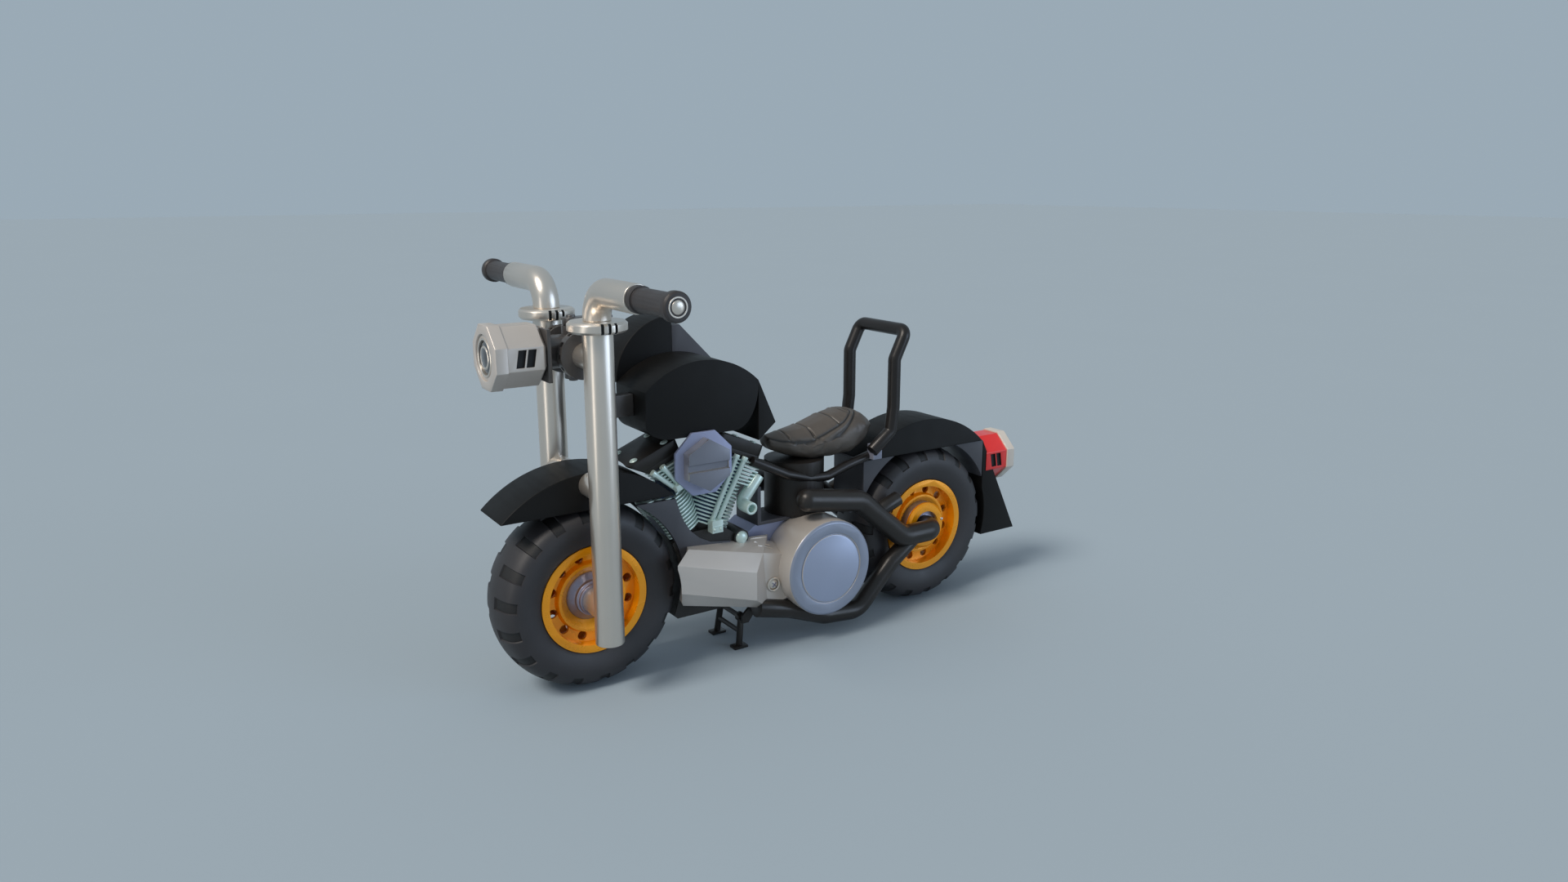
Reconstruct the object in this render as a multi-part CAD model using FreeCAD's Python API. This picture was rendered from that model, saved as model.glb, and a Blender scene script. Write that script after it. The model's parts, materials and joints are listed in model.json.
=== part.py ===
import FreeCAD, Part
import math
import os

V = FreeCAD.Vector

# Wheels
WHEELBASE = 1535.0
HUB_Z = 344.0
TYRE_R = 344.0
TYRE_HALF = 123.0
BULGE_R = 258.0
SHOULDER_R = 298.0
SHOULDER_IN = 7.0
EDGE_R = 326.0
EDGE_IN = 37.0
CROWN_HALF = 26.0
RIM_R = 200.0
RIM_HALF = 108.0
BARREL_R = 188.0
BARREL_WALL = 16.0
FLANGE = 8.0
WEB_Y = 50.0
WEB_T = 12.0
CREST_R = 128.0
CREST_IN_R = 118.0
CREST_RISE = 20.0
HOLE_COUNT = 12
HOLE_PITCH_R = 150.0
HOLE_R = 17.0
AXLE_R = 15.0
AXLE_SLEEVE_R = 50.0
RUN_FIT = 0.05
SIDE_PLAY = 1.0
FRONT_HUB_R = 90.0
FRONT_HUB_SINK = 4.0
FRONT_HUB_HALF = 108.0
REAR_HUB_R = 100.0
REAR_HUB_SINK = -8.0
REAR_DRUM_HALF = 102.0
REAR_CORE_R = 50.0
REAR_HUB_HALF = 104.0
HUB_RING_T = 20.0
HUB_RING_IN = 64.0

# Frame: +X forward, +Y left, +Z up, ground at z = 0, millimetres.
# Places along the machine are given from the front axle, rearward negative.
REAR_X = -WHEELBASE
TAIL_REACH = 549.0
FRONT_X = (WHEELBASE + TAIL_REACH - TYRE_R) / 2.0

# Fork and bars
FORK_Y = 220.0
FORK_R = 51.0
FORK_BOTTOM = 222.0
CLAMP_TOP = 1351.0
CLAMP_T = 37.0
CLAMP_R = 99.5
CLAMP_BEVEL = 8.0
BAR_RISE = 96.0
BAR_STRAIGHT = 4.0
BAR_R = 47.0
BAR_END_Y = 525.0
GRIP_R = 38.0
GRIP_COLLAR = 5.0
GRIP_FLANGE_R = 46.0
GRIP_FLANGE_T = 34.0
GRIP_END_Y = 782.0

# Steering: crown turns on an upright stem held by the neck
CROWN_Z = 1220.0
RING_R = 83.0
RING_IN_Y = 66.0
RING_OUT_Y = 106.0
NOTCH_COUNT = 12
CROWN_SHAFT_R = 36.0
CROWN_STUB_R = 44.0
STEM_R = 16.0
SLEEVE_R = 34.0
SLEEVE_LOW = CROWN_Z - 64.0
SLEEVE_HIGH = CROWN_Z + 92.0
NECK_ARM_T = 26.0
NECK_HALF = 24.0
NECK_BACK = -146.0
NECK_FRONT = -122.0
NECK_ROOT_H = 80.0
STEER_SWEEP_GAP = 9.5
WHEEL_SWEEP_R = TYRE_R + 16.0

# Mudguards
GUARD_R = 461.0
GUARD_CENTRE_Z = 350.0
GUARD_HEIGHT = 135.0
GUARD_BASE_Z = GUARD_CENTRE_Z + GUARD_R - GUARD_HEIGHT
GUARD_HALF = 107.0
GUARD_SKIN = 8.0
STUB_Z = GUARD_BASE_Z + 94.0
STUB_R = 44.0
ARCH_R = TYRE_R + 28.0
ARCH_T = 17.0
FLAP_LOW = HUB_Z - 109.0

# Lamps
LAMP_FRONT = 312.0
LAMP_Z = CROWN_Z + 6.0
LAMP_HALF_Y = 113.0
LAMP_HALF_Z = 109.0
LAMP_LENGTH = 186.0
BEZEL_T = 46.0
LENS_R = 78.0
TAIL_X = REAR_X - 525.0
TAIL_Z = 574.0

# Tank
TANK_HALF = 120.0
TANK_FRONT = -214.0
TANK_LENGTH = 469.0
TANK_Z = 1070.0
TANK_RISE = 96.0
TANK_DEPTH = 180.0
TANK_REAR = TANK_FRONT - TANK_LENGTH
TANK_FLOOR = TANK_Z - TANK_DEPTH
POD_R = 233.0
POD_WIDTH = 180.0
COWL_WIDTH = 90.0
COWL_RISE = 197.0

# Engine: two cylinders at 45 degrees on a common crank centre
CRANK_X = -437.0
CRANK_Z = 386.0
BANK_DEG = 22.5
BANK_LOW = 60.0
FIN_START = 150.0
HEAD_JOINT = 325.0
FIN_END = 432.0
HEAD_TOP = 496.0
BASE_R = 92.0
CORE_R = 80.0
BARREL_FIN_R = 102.0
FIN_HALF_L = 112.0
FIN_HALF_Y = 100.0
FIN_PITCH = 14.0
FIN_T = 6.0
COVER_HALF_L = 108.0
COVER_HALF_Y = 96.0
COVER_ROUND = 26.0
ROD_R = 9.5
ROD_Y = FIN_HALF_Y + 7.0
ROD_TOP = FIN_END + 4.0
COLLAR_R = 12.0
COLLAR_H = 16.0
NUT_R = 24.0
AIR_Z = 788.0
AIR_HEX_R = 98.0
AIR_OCT_R = 118.0
AIR_TANK_GAP = 0.5
AIR_ROD_GAP = 4.0
AIR_BACK_Y = max(TANK_HALF + AIR_TANK_GAP, ROD_Y + ROD_R + AIR_ROD_GAP)
AIR_BACK_T = 14.0
AIR_COVER_T = 41.5
AIR_GROOVE_LOW = AIR_Z - 20.0
AIR_GROOVE_HIGH = AIR_Z + 8.0
AIR_GROOVE_DEPTH = 8.0
INTAKE_R = 34.0
INTAKE_IN_Y = 20.0
INTAKE_Z = AIR_Z - 28.0
STARTER_X = CRANK_X - 170.0
STARTER_Z = CRANK_Z + 77.0
STARTER_R = 32.0
STARTER_OUT = 12.0
NUT_H = 22.0
LIFTER_L = 46.0
LIFTER_W = 36.0
LIFTER_H = 48.0
LIFTER_DROP = 36.0
PORT_R = 24.0
PORT_BORE_R = 15.0
PORT_BEND = 30.0
PORT_OUT_Y = 174.0

# Covers on the left side
DRUM_X = REAR_X + 601.0
DRUM_Z = 312.0
DRUM_R = 193.0
DRUM_IN_Y = 62.0
DRUM_OUT_Y = 250.0
DRUM_BEVEL = 8.0
DRUM_GROOVE_R = DRUM_R - 22.0
DRUM_GROOVE_W = 8.0
DRUM_GROOVE_DEPTH = 5.0
PRIMARY_IN_Y = 92.0
PRIMARY_MID_Y = 168.0
PRIMARY_FACE_Y = 214.0

# Gearbox, tray and seat
GEARBOX_HALF = 96.0
TRAY_TOP = 498.0
TRAY_T = 14.0
TRAY_HALF = 80.0
SEAT_LOW = 714.0
SOFT_GAP = 0.3
OIL_TANK_R = 121.0
RAIL_Y = 104.0
RAIL_R = 19.0

# Side tubes
TYRE_CLEAR = 6.0
UPPER_R = 45.0
LOWER_R = 37.0
TUBE_BEND = 90.0
ELBOW_BEND = 52.0
TUBE_Y = TYRE_HALF + TYRE_CLEAR + UPPER_R
LOWER_Y = TYRE_HALF + TYRE_CLEAR + LOWER_R
TIP_R = 31.0
TIP_BORE_R = 22.0
TIP_BORE_DEPTH = 40.0

# Backrest loop
BAR_LEG_Y = 149.0
BAR_TUBE_R = 26.0

# Stand
CROSS_X = -662.0
CROSS_Z = 172.0
CROSS_R = 20.0
STAND_X = CROSS_X + 42.0
STAND_Z = CROSS_Z - 50.0
STAND_Y = 78.0
STAND_REACH = STAND_Y + 36.0
STAND_TUBE_R = 13.0
STAND_EYE_R = 19.0
STAND_PIN_R = 10.0
STAND_LEAD = 14.0
STAND_SPREAD = 8.0
LUG_T = 10.0
FOOT_L = 60.0
FOOT_W = 40.0
FOOT_T = 10.0

NODES = {}


def at(x, y, z):
    return V(FRONT_X + x, y, z)


def box(x0, x1, y0, y1, z0, z1):
    return Part.makeBox(x1 - x0, y1 - y0, z1 - z0, at(x0, y0, z0))


def rod(a, b, r):
    return Part.makeCylinder(r, (b - a).Length, a, b - a)


def cross_rod(x, z, y0, y1, r):
    return Part.makeCylinder(r, y1 - y0, at(x, y0, z), V(0, 1, 0))


def fore_rod(x0, x1, y, z, r):
    return Part.makeCylinder(r, x1 - x0, at(x0, y, z), V(1, 0, 0))


def join(shapes):
    out = shapes[0]
    for s in shapes[1:]:
        out = out.fuse(s)
    return out.removeSplitter()


def polygon(points):
    return Part.makePolygon(points + [points[0]])


def side_plate(points, y0, y1):
    # outline in the XZ plane, extruded across
    outline = polygon([at(x, y0, z) for x, z in points])
    return Part.Face(outline).extrude(V(0, y1 - y0, 0))


def mirrored(shape):
    return shape.mirror(V(0, 0, 0), V(0, 1, 0))


def both_sides(shape):
    return [shape, mirrored(shape)]


def biggest(shape):
    return max(shape.Solids, key=lambda s: s.Volume)


def node(name, *shapes):
    solids = []
    for s in shapes:
        solids.extend(s.Solids)
    NODES[name] = solids[0] if len(solids) == 1 else Part.makeCompound(solids)


def bent_path(points, bend):
    # straight runs joined by tangent arcs
    edges = []
    start = points[0]
    for i in range(1, len(points) - 1):
        corner = points[i]
        u = (points[i - 1] - corner).normalize()
        w = (points[i + 1] - corner).normalize()
        half = u.getAngle(w) / 2.0
        cut = bend / math.tan(half)
        a = corner + u * cut
        b = corner + w * cut
        middle = (u + w).normalize()
        centre = corner + middle * (bend / math.sin(half))
        if (a - start).Length > 0.01:
            edges.append(Part.LineSegment(start, a).toShape())
        edges.append(Part.Arc(a, centre - middle * bend, b).toShape())
        start = b
    edges.append(Part.LineSegment(start, points[-1]).toShape())
    return Part.Wire(edges)


def bent_tube(points, radius, bend):
    path = bent_path(points, bend)
    profile = Part.Wire([Part.makeCircle(radius, points[0], points[1] - points[0])])
    solid = path.makePipeShell([profile], True, False)
    if not solid.Solids:
        solid = Part.Solid(solid)
    if solid.Volume < 0:
        solid.reverse()
    return solid


def octagon(x, zc, half_y, half_z):
    # eight corners in a plane across the machine
    corner = 0.38
    cut_y = half_y * corner
    cut_z = half_z * corner
    ring = [(-cut_y, half_z), (cut_y, half_z), (half_y, cut_z), (half_y, -cut_z),
            (cut_y, -half_z), (-cut_y, -half_z), (-half_y, -cut_z), (-half_y, cut_z)]
    return polygon([at(x, a, zc + b) for a, b in ring])


def loft(*wires):
    return Part.makeLoft(list(wires), True, True)


def turned(profile, hub_x):
    # profile of (radius, y) points turned about the wheel axis
    face = Part.Face(polygon([at(hub_x + r, y, HUB_Z) for r, y in profile]))
    return face.revolve(at(hub_x, 0, HUB_Z), V(0, 1, 0), 360)


def turned_pair(half, hub_x):
    # half profile from the left side, closed by its mirror image
    return turned(half + [(r, -y) for r, y in reversed(half)], hub_x)


def make_tyre(hub_x):
    # bead on the rim, bulged wall, stepped shoulder and flat crown
    bead = RIM_HALF - FLANGE
    half = [(BARREL_R, bead), (RIM_R, bead), (RIM_R + FLANGE, RIM_HALF), (BULGE_R, TYRE_HALF),
            (SHOULDER_R, TYRE_HALF - SHOULDER_IN), (EDGE_R, TYRE_HALF - EDGE_IN), (TYRE_R, CROWN_HALF)]
    return turned_pair(half, hub_x)


def make_rim(hub_x, hub_r, sink):
    # barrel with two drilled webs, each with a raised crest round the hub
    barrel_in = BARREL_R - BARREL_WALL
    barrel = turned([(barrel_in, -RIM_HALF), (RIM_R, -RIM_HALF), (RIM_R, -RIM_HALF + FLANGE),
                     (BARREL_R, -RIM_HALF + FLANGE), (BARREL_R, RIM_HALF - FLANGE),
                     (RIM_R, RIM_HALF - FLANGE), (RIM_R, RIM_HALF), (barrel_in, RIM_HALF)], hub_x)
    outer = WEB_Y + WEB_T
    web = turned([(hub_r, WEB_Y - sink), (CREST_IN_R, WEB_Y + CREST_RISE), (CREST_R - 2, WEB_Y + CREST_RISE),
                  (CREST_R + 4, WEB_Y), (barrel_in + 1, WEB_Y), (barrel_in + 1, outer), (CREST_R + 8, outer),
                  (CREST_R, outer + CREST_RISE), (CREST_IN_R, outer + CREST_RISE), (hub_r, outer - sink)], hub_x)
    rim = join([barrel] + both_sides(web))
    holes = []
    for i in range(HOLE_COUNT):
        a = 2 * math.pi * (i + 0.5) / HOLE_COUNT
        x = hub_x + HOLE_PITCH_R * math.cos(a)
        z = HUB_Z + HOLE_PITCH_R * math.sin(a)
        holes.append(cross_rod(x, z, -RIM_HALF, RIM_HALF, HOLE_R))
    return rim.cut(holes)


def make_front_wheel():
    node("front_tyre", make_tyre(0.0))
    node("front_rim", make_rim(0.0, FRONT_HUB_R, FRONT_HUB_SINK))
    seat = WEB_Y + WEB_T - FRONT_HUB_SINK
    half = [(AXLE_R + RUN_FIT, FRONT_HUB_HALF), (58.0, FRONT_HUB_HALF), (58.0, FRONT_HUB_HALF - 12),
            (66.0, FRONT_HUB_HALF - 16), (66.0, FRONT_HUB_HALF - 28), (FRONT_HUB_R - 6, seat + 6), (FRONT_HUB_R, seat)]
    node("front_hub", turned_pair(half, 0.0))


def make_rear_wheel():
    node("rear_tyre", make_tyre(REAR_X))
    # stepped ring on each face of the drum hub, in the rim's colour
    face = REAR_DRUM_HALF + HUB_RING_T
    ring = turned([(HUB_RING_IN, REAR_DRUM_HALF), (REAR_HUB_R, REAR_DRUM_HALF), (REAR_HUB_R, face - 10),
                   (REAR_HUB_R - 10, face), (HUB_RING_IN, face)], REAR_X)
    node("rear_rim", make_rim(REAR_X, REAR_HUB_R, REAR_HUB_SINK), *both_sides(ring))
    half = [(AXLE_R + RUN_FIT, REAR_HUB_HALF), (REAR_CORE_R, REAR_HUB_HALF), (REAR_CORE_R, REAR_DRUM_HALF),
            (REAR_HUB_R, REAR_DRUM_HALF)]
    node("rear_hub", turned_pair(half, REAR_X))


def make_fork():
    low = CLAMP_TOP - CLAMP_T
    tube = rod(at(0, FORK_Y, FORK_BOTTOM), at(0, FORK_Y, low), FORK_R)
    node("fork_tubes", *both_sides(tube))
    disc = rod(at(0, FORK_Y, low), at(0, FORK_Y, CLAMP_TOP), CLAMP_R)
    disc = disc.makeChamfer(CLAMP_BEVEL, [e for e in disc.Edges if e.Closed])
    notches = []
    for deg in (76.0, 90.0, 104.0, -76.0, -90.0, -104.0):
        cut = box(CLAMP_R - 7, CLAMP_R + 1, FORK_Y - 5, FORK_Y + 5, low, CLAMP_TOP)
        cut.rotate(at(0, FORK_Y, 0), V(0, 0, 1), deg)
        notches.append(cut)
    node("fork_clamps", *both_sides(disc.cut(notches)))


def make_front_axle():
    shaft = cross_rod(0, HUB_Z, -FORK_Y, FORK_Y, AXLE_R)
    spacer = cross_rod(0, HUB_Z, FRONT_HUB_HALF + SIDE_PLAY, FORK_Y, AXLE_SLEEVE_R)
    node("front_axle", join([shaft] + both_sides(spacer)).cut(NODES["fork_tubes"]))


def make_bars():
    bar_z = CLAMP_TOP + BAR_RISE
    path = [at(0, FORK_Y, CLAMP_TOP), at(0, FORK_Y, bar_z), at(0, BAR_END_Y, bar_z)]
    bar = bent_tube(path, BAR_R, BAR_RISE - BAR_STRAIGHT)
    node("handlebars", *both_sides(bar))
    flange_y = GRIP_END_Y - GRIP_FLANGE_T
    grip = cross_rod(0, bar_z, BAR_END_Y, flange_y, GRIP_R)
    collar = cross_rod(0, bar_z, BAR_END_Y, BAR_END_Y + 30, GRIP_R + GRIP_COLLAR)
    flange = cross_rod(0, bar_z, flange_y, GRIP_END_Y, GRIP_FLANGE_R)
    flange = flange.makeChamfer(6.0, [e for e in flange.Edges if e.Closed])
    node("grips", *both_sides(join([grip, collar, flange])))


def make_crown():
    # two notched rings on a cross shaft, turning on an upright sleeve
    ring = cross_rod(0, CROWN_Z, RING_IN_Y, RING_OUT_Y, RING_R)
    notches = []
    for i in range(NOTCH_COUNT):
        cut = box(-8, 8, RING_IN_Y + 10, RING_OUT_Y - 10, CROWN_Z + RING_R - 9, CROWN_Z + RING_R + 9)
        cut.rotate(at(0, 0, CROWN_Z), V(0, 1, 0), 360.0 * i / NOTCH_COUNT)
        notches.append(cut)
    rings = both_sides(ring.cut(notches))
    shaft = cross_rod(0, CROWN_Z, -RING_IN_Y, RING_IN_Y, CROWN_SHAFT_R)
    sleeve = rod(at(0, 0, SLEEVE_LOW), at(0, 0, SLEEVE_HIGH), SLEEVE_R)
    bore = rod(at(0, 0, SLEEVE_LOW), at(0, 0, SLEEVE_HIGH), STEM_R + RUN_FIT)
    node("steering_crown", join([shaft, sleeve] + rings).cut(bore))
    node("crown_stubs", *fork_stubs(CROWN_Z, RING_OUT_Y, CROWN_STUB_R))


def fork_stubs(z, y0, radius):
    # short cross tubes that end on the fork tubes
    stub = cross_rod(0, z, y0, FORK_Y, radius).cut(NODES["fork_tubes"])
    return both_sides(biggest(stub))


def make_neck():
    # fixed stem held top and bottom by a bracket that runs back to the tank
    low = SLEEVE_LOW - 2.0
    high = SLEEVE_HIGH + 2.0
    root_z = TANK_Z - 98.0
    cap_r = STEM_R + 14.0
    arm_low = box(NECK_BACK, 18, -NECK_HALF, NECK_HALF, low - NECK_ARM_T, low)
    arm_high = box(NECK_BACK, 18, -NECK_HALF, NECK_HALF, high, high + NECK_ARM_T)
    spine = box(NECK_BACK, NECK_FRONT, -NECK_HALF, NECK_HALF, root_z, high + NECK_ARM_T)
    root = box(TANK_FRONT, NECK_FRONT, -NECK_HALF, NECK_HALF, root_z, root_z + NECK_ROOT_H)
    stem = rod(at(0, 0, low - NECK_ARM_T - 8), at(0, 0, high + NECK_ARM_T + 8), STEM_R)
    cap_low = rod(at(0, 0, low - NECK_ARM_T), at(0, 0, low), cap_r)
    cap_high = rod(at(0, 0, high), at(0, 0, high + NECK_ARM_T), cap_r)
    node("steering_neck", join([arm_low, arm_high, spine, root, stem, cap_low, cap_high]))


def guard_shape(hub_x, skin):
    # segment of a disc above a level base, less the skin all round
    half = GUARD_HALF - skin
    disc = cross_rod(hub_x, GUARD_CENTRE_Z, -half, half, GUARD_R - skin)
    base = GUARD_BASE_Z if skin == 0 else GUARD_CENTRE_Z
    return disc.common(box(hub_x - GUARD_R, hub_x + GUARD_R, -half, half, base, GUARD_CENTRE_Z + GUARD_R))


def make_guard(hub_x):
    return guard_shape(hub_x, 0).cut(guard_shape(hub_x, GUARD_SKIN))


def make_front_guard():
    node("front_fender", make_guard(0))
    node("fender_stubs", *fork_stubs(STUB_Z, GUARD_HALF, STUB_R))


def lamp_bezel(direction, lit_x, zc):
    face = octagon(lit_x, zc, LAMP_HALF_Y - 13, LAMP_HALF_Z - 12)
    edge = octagon(lit_x - direction * 4, zc, LAMP_HALF_Y, LAMP_HALF_Z)
    back = octagon(lit_x - direction * BEZEL_T, zc, LAMP_HALF_Y, LAMP_HALF_Z)
    return join([loft(face, edge), loft(edge, back)])


def lamp_body(direction, lit_x, zc, length):
    x0 = lit_x - direction * BEZEL_T
    x1 = lit_x - direction * (length - 16)
    return loft(octagon(x0, zc, LAMP_HALF_Y - 6, LAMP_HALF_Z - 6), octagon(x1, zc, LAMP_HALF_Y - 6, LAMP_HALF_Z - 6))


def lamp_slots(direction, x_start, zc):
    # two slanted slots in each side of a lamp body
    cuts = []
    for i in range(2):
        x = x_start - direction * i * 34
        slot = side_plate([(x, zc - 28), (x - direction * 26, zc - 28), (x - direction * 36, zc + 30),
                           (x - direction * 10, zc + 30)], LAMP_HALF_Y - 15, LAMP_HALF_Y)
        cuts.extend(both_sides(slot))
    return cuts


def make_headlamp():
    body_end = LAMP_FRONT - LAMP_LENGTH + 16
    tail = loft(octagon(body_end, LAMP_Z, LAMP_HALF_Y - 6, LAMP_HALF_Z - 6),
                octagon(body_end - 16, LAMP_Z, LAMP_HALF_Y - 29, LAMP_HALF_Z - 25))
    shell = join([lamp_bezel(1, LAMP_FRONT, LAMP_Z), lamp_body(1, LAMP_FRONT, LAMP_Z, LAMP_LENGTH), tail])
    seat_x = LAMP_FRONT - 36
    lens_x = LAMP_FRONT - 24
    lens_r = LENS_R - 16.5
    bowl = fore_rod(seat_x, LAMP_FRONT, 0, LAMP_Z, LENS_R)
    node("headlamp_shell", shell.cut([bowl] + lamp_slots(1, LAMP_FRONT - BEZEL_T - 28, LAMP_Z)))
    ring = fore_rod(seat_x, LAMP_FRONT - 6, 0, LAMP_Z, LENS_R)
    node("headlamp_ring", ring.cut(fore_rod(lens_x, LAMP_FRONT, 0, LAMP_Z, lens_r + 0.5)))
    dome_r = 150.0
    dome = Part.makeSphere(dome_r, at(lens_x + 24 - dome_r, 0, LAMP_Z))
    node("headlamp_lens", fore_rod(lens_x, LAMP_FRONT, 0, LAMP_Z, lens_r).common(dome))
    back = LAMP_FRONT - LAMP_LENGTH
    plate = box(back - 14, back, -96, 96, LAMP_Z - 90, LAMP_Z + 90)
    post = fore_rod(20, back - 6, 0, LAMP_Z, 58)
    sleeve = rod(at(0, 0, SLEEVE_LOW), at(0, 0, SLEEVE_HIGH), SLEEVE_R)
    node("headlamp_bracket", biggest(join([plate, post]).cut([sleeve, NODES["steering_crown"]])))


def make_tank():
    # arched top over a rounded belly, with a square tail block
    half = TANK_LENGTH / 2.0
    arch_r = (half * half + TANK_RISE * TANK_RISE) / (2.0 * TANK_RISE)
    peak = TANK_Z + TANK_RISE
    arch = cross_rod(TANK_FRONT - half, peak - arch_r, -TANK_HALF, TANK_HALF, arch_r)
    arch = arch.common(box(TANK_REAR, TANK_FRONT, -TANK_HALF, TANK_HALF, TANK_Z, peak))
    tail = side_plate([(TANK_REAR, TANK_Z), (TANK_REAR - 76, TANK_FLOOR + 10), (TANK_REAR, TANK_FLOOR - 52)],
                      -TANK_HALF, TANK_HALF)
    node("tank", join([arch, belly(), tail]))


def belly():
    # side outline: upright nose, round chin, level floor, round rear
    nose_z = TANK_FLOOR + 78
    floor0 = at(TANK_FRONT - 106, -TANK_HALF, TANK_FLOOR)
    floor1 = at(TANK_REAR + 123, -TANK_HALF, TANK_FLOOR)
    top0 = at(TANK_FRONT, -TANK_HALF, TANK_Z)
    top1 = at(TANK_REAR, -TANK_HALF, TANK_Z)
    nose = at(TANK_FRONT, -TANK_HALF, nose_z)
    chin = Part.BSplineCurve()
    chin.interpolate([nose, at(TANK_FRONT - 11, -TANK_HALF, TANK_FLOOR + 35),
                      at(TANK_FRONT - 48, -TANK_HALF, TANK_FLOOR + 10), floor0])
    rear = Part.BSplineCurve()
    rear.interpolate([floor1, at(TANK_REAR + 58, -TANK_HALF, TANK_FLOOR + 18),
                      at(TANK_REAR + 19, -TANK_HALF, TANK_FLOOR + 72), top1])
    outline = Part.Wire([Part.LineSegment(top0, nose).toShape(), chin.toShape(),
                         Part.LineSegment(floor0, floor1).toShape(), rear.toShape(),
                         Part.LineSegment(top1, top0).toShape()])
    return Part.Face(outline).extrude(V(0, 2 * TANK_HALF, 0))


def make_side_cowl():
    # quarter-round pod on the tank's right side and the sloped plate behind it
    front = TANK_FRONT - 2
    back = front - POD_R
    side = -TANK_HALF
    disc = cross_rod(back, TANK_Z, side - POD_WIDTH, side, POD_R)
    node("side_cowl", disc.common(box(back, front, side - POD_WIDTH, side, TANK_Z, TANK_Z + POD_R)))
    slope = [(back, TANK_Z), (back, TANK_Z + COWL_RISE), (back - 34, TANK_Z + COWL_RISE), (back - 226, TANK_Z)]
    node("cowl_slope", side_plate(slope, side - COWL_WIDTH, side))


def bank_frame(sign):
    # placement that puts the cylinder axis upright at the crank centre
    return FreeCAD.Placement(at(CRANK_X, 0, CRANK_Z), FreeCAD.Rotation(V(0, 1, 0), sign * BANK_DEG))


def bank_point(sign, along, y, up):
    return bank_frame(sign).multVec(V(along, y, up))


def steer_sweep():
    # space swept by the steered mudguard and wheel, with a margin
    gap = STEER_SWEEP_GAP
    low = GUARD_BASE_Z - gap
    top = GUARD_CENTRE_Z + GUARD_R + gap
    steps = 6
    outline = [V(0, 0, low)]
    for i in range(steps + 1):
        z = low + i * (top - low) / steps
        level = max(z - gap, GUARD_BASE_Z) - GUARD_CENTRE_Z
        reach = math.sqrt(max(0.0, GUARD_R ** 2 - level ** 2))
        outline.append(V(math.hypot(reach, GUARD_HALF) + gap, 0, z))
    outline.append(V(0, 0, top))
    hat = Part.Face(polygon(outline)).revolve(V(0, 0, 0), V(0, 0, 1), 360)
    hat.translate(V(FRONT_X, 0, 0))
    return [hat, Part.makeSphere(WHEEL_SWEEP_R, at(0, 0, HUB_Z))]


def make_bank(sign, name):
    # plain base, round barrel fins and square head fins on one core
    parts = [Part.makeCylinder(BASE_R, FIN_START - BANK_LOW, V(0, 0, BANK_LOW)),
             Part.makeCylinder(CORE_R, FIN_END - FIN_START, V(0, 0, FIN_START))]
    for i in range(int((FIN_END - FIN_START) / FIN_PITCH)):
        up = FIN_START + i * FIN_PITCH
        if up < HEAD_JOINT:
            parts.append(Part.makeCylinder(BARREL_FIN_R, FIN_T, V(0, 0, up)))
        else:
            parts.append(Part.makeBox(2 * FIN_HALF_L, 2 * FIN_HALF_Y, FIN_T, V(-FIN_HALF_L, -FIN_HALF_Y, up)))
    bank = join(parts)
    bank.Placement = bank_frame(sign)
    # the banks part at the upright plane through the crank centre
    reach = HEAD_TOP + FIN_HALF_L
    x0 = CRANK_X if sign > 0 else CRANK_X - reach
    own_side = box(x0, x0 + reach, -BARREL_FIN_R, BARREL_FIN_R, CRANK_Z, CRANK_Z + reach)
    around = ("crankcase", "lifter_blocks", "pushrod_tubes", "front_exhaust_port", "rear_exhaust_port")
    bank = bank.common(own_side).cut([NODES[n] for n in around])
    if sign > 0:
        bank = bank.cut(steer_sweep())
    node(name, biggest(bank))


def make_cover(sign, name):
    # rounded rocker box on the head, trimmed where the tank sits over it
    height = HEAD_TOP - FIN_END
    cover = Part.makeBox(2 * COVER_HALF_L, 2 * COVER_HALF_Y, height, V(-COVER_HALF_L, -COVER_HALF_Y, FIN_END))
    upright = [e for e in cover.Edges if e.BoundBox.ZLength > height - 1]
    cover = cover.makeFillet(COVER_ROUND, upright)
    cover.Placement = bank_frame(sign)
    reach = HEAD_TOP + COVER_HALF_L
    above = box(CRANK_X - reach, CRANK_X + reach, -TANK_HALF, TANK_HALF, TANK_FLOOR, CRANK_Z + reach)
    cover = cover.cut([above, NODES["pushrod_tubes"]])
    if sign > 0:
        cover = cover.cut(steer_sweep())
    node(name, biggest(cover))


def make_crankcase():
    # crankcase block with the starter housing that points to the left
    x = CRANK_X
    z = CRANK_Z
    case = side_plate([(x + 137, z + 84), (x + 85, z + 134), (x - 93, z + 134), (x - 163, z + 84),
                       (x - 203, z + 14), (x - 203, z - 136), (x - 153, z - 196), (x + 107, z - 196),
                       (x + 145, z - 146)], -FIN_HALF_Y, FIN_HALF_Y)
    starter = cross_rod(STARTER_X, STARTER_Z, -FIN_HALF_Y, FIN_HALF_Y + STARTER_OUT, STARTER_R)
    case = join([case, starter])
    node("crankcase", case.cut(steer_sweep()))


def make_lifters():
    # hexagon at the front head joint, block on the crankcase under the rear pair
    hexagon = polygon([V(NUT_R * math.cos(math.pi * i / 3), NUT_R * math.sin(math.pi * i / 3), 0) for i in range(6)])
    nut = Part.Face(hexagon).extrude(V(0, 0, NUT_H))
    nut.translate(V(-31, ROD_Y, HEAD_JOINT))
    nut.Placement = bank_frame(1).multiply(nut.Placement)
    nut = nut.cut([NODES["air_cleaner_back"]] + steer_sweep())
    foot = bank_point(-1, 13, FIN_HALF_Y, 168)
    block = Part.makeBox(LIFTER_L, LIFTER_W, LIFTER_H, V(foot.x - LIFTER_L / 2, FIN_HALF_Y, foot.z - LIFTER_DROP))
    node("lifter_blocks", biggest(nut), block)


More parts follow.
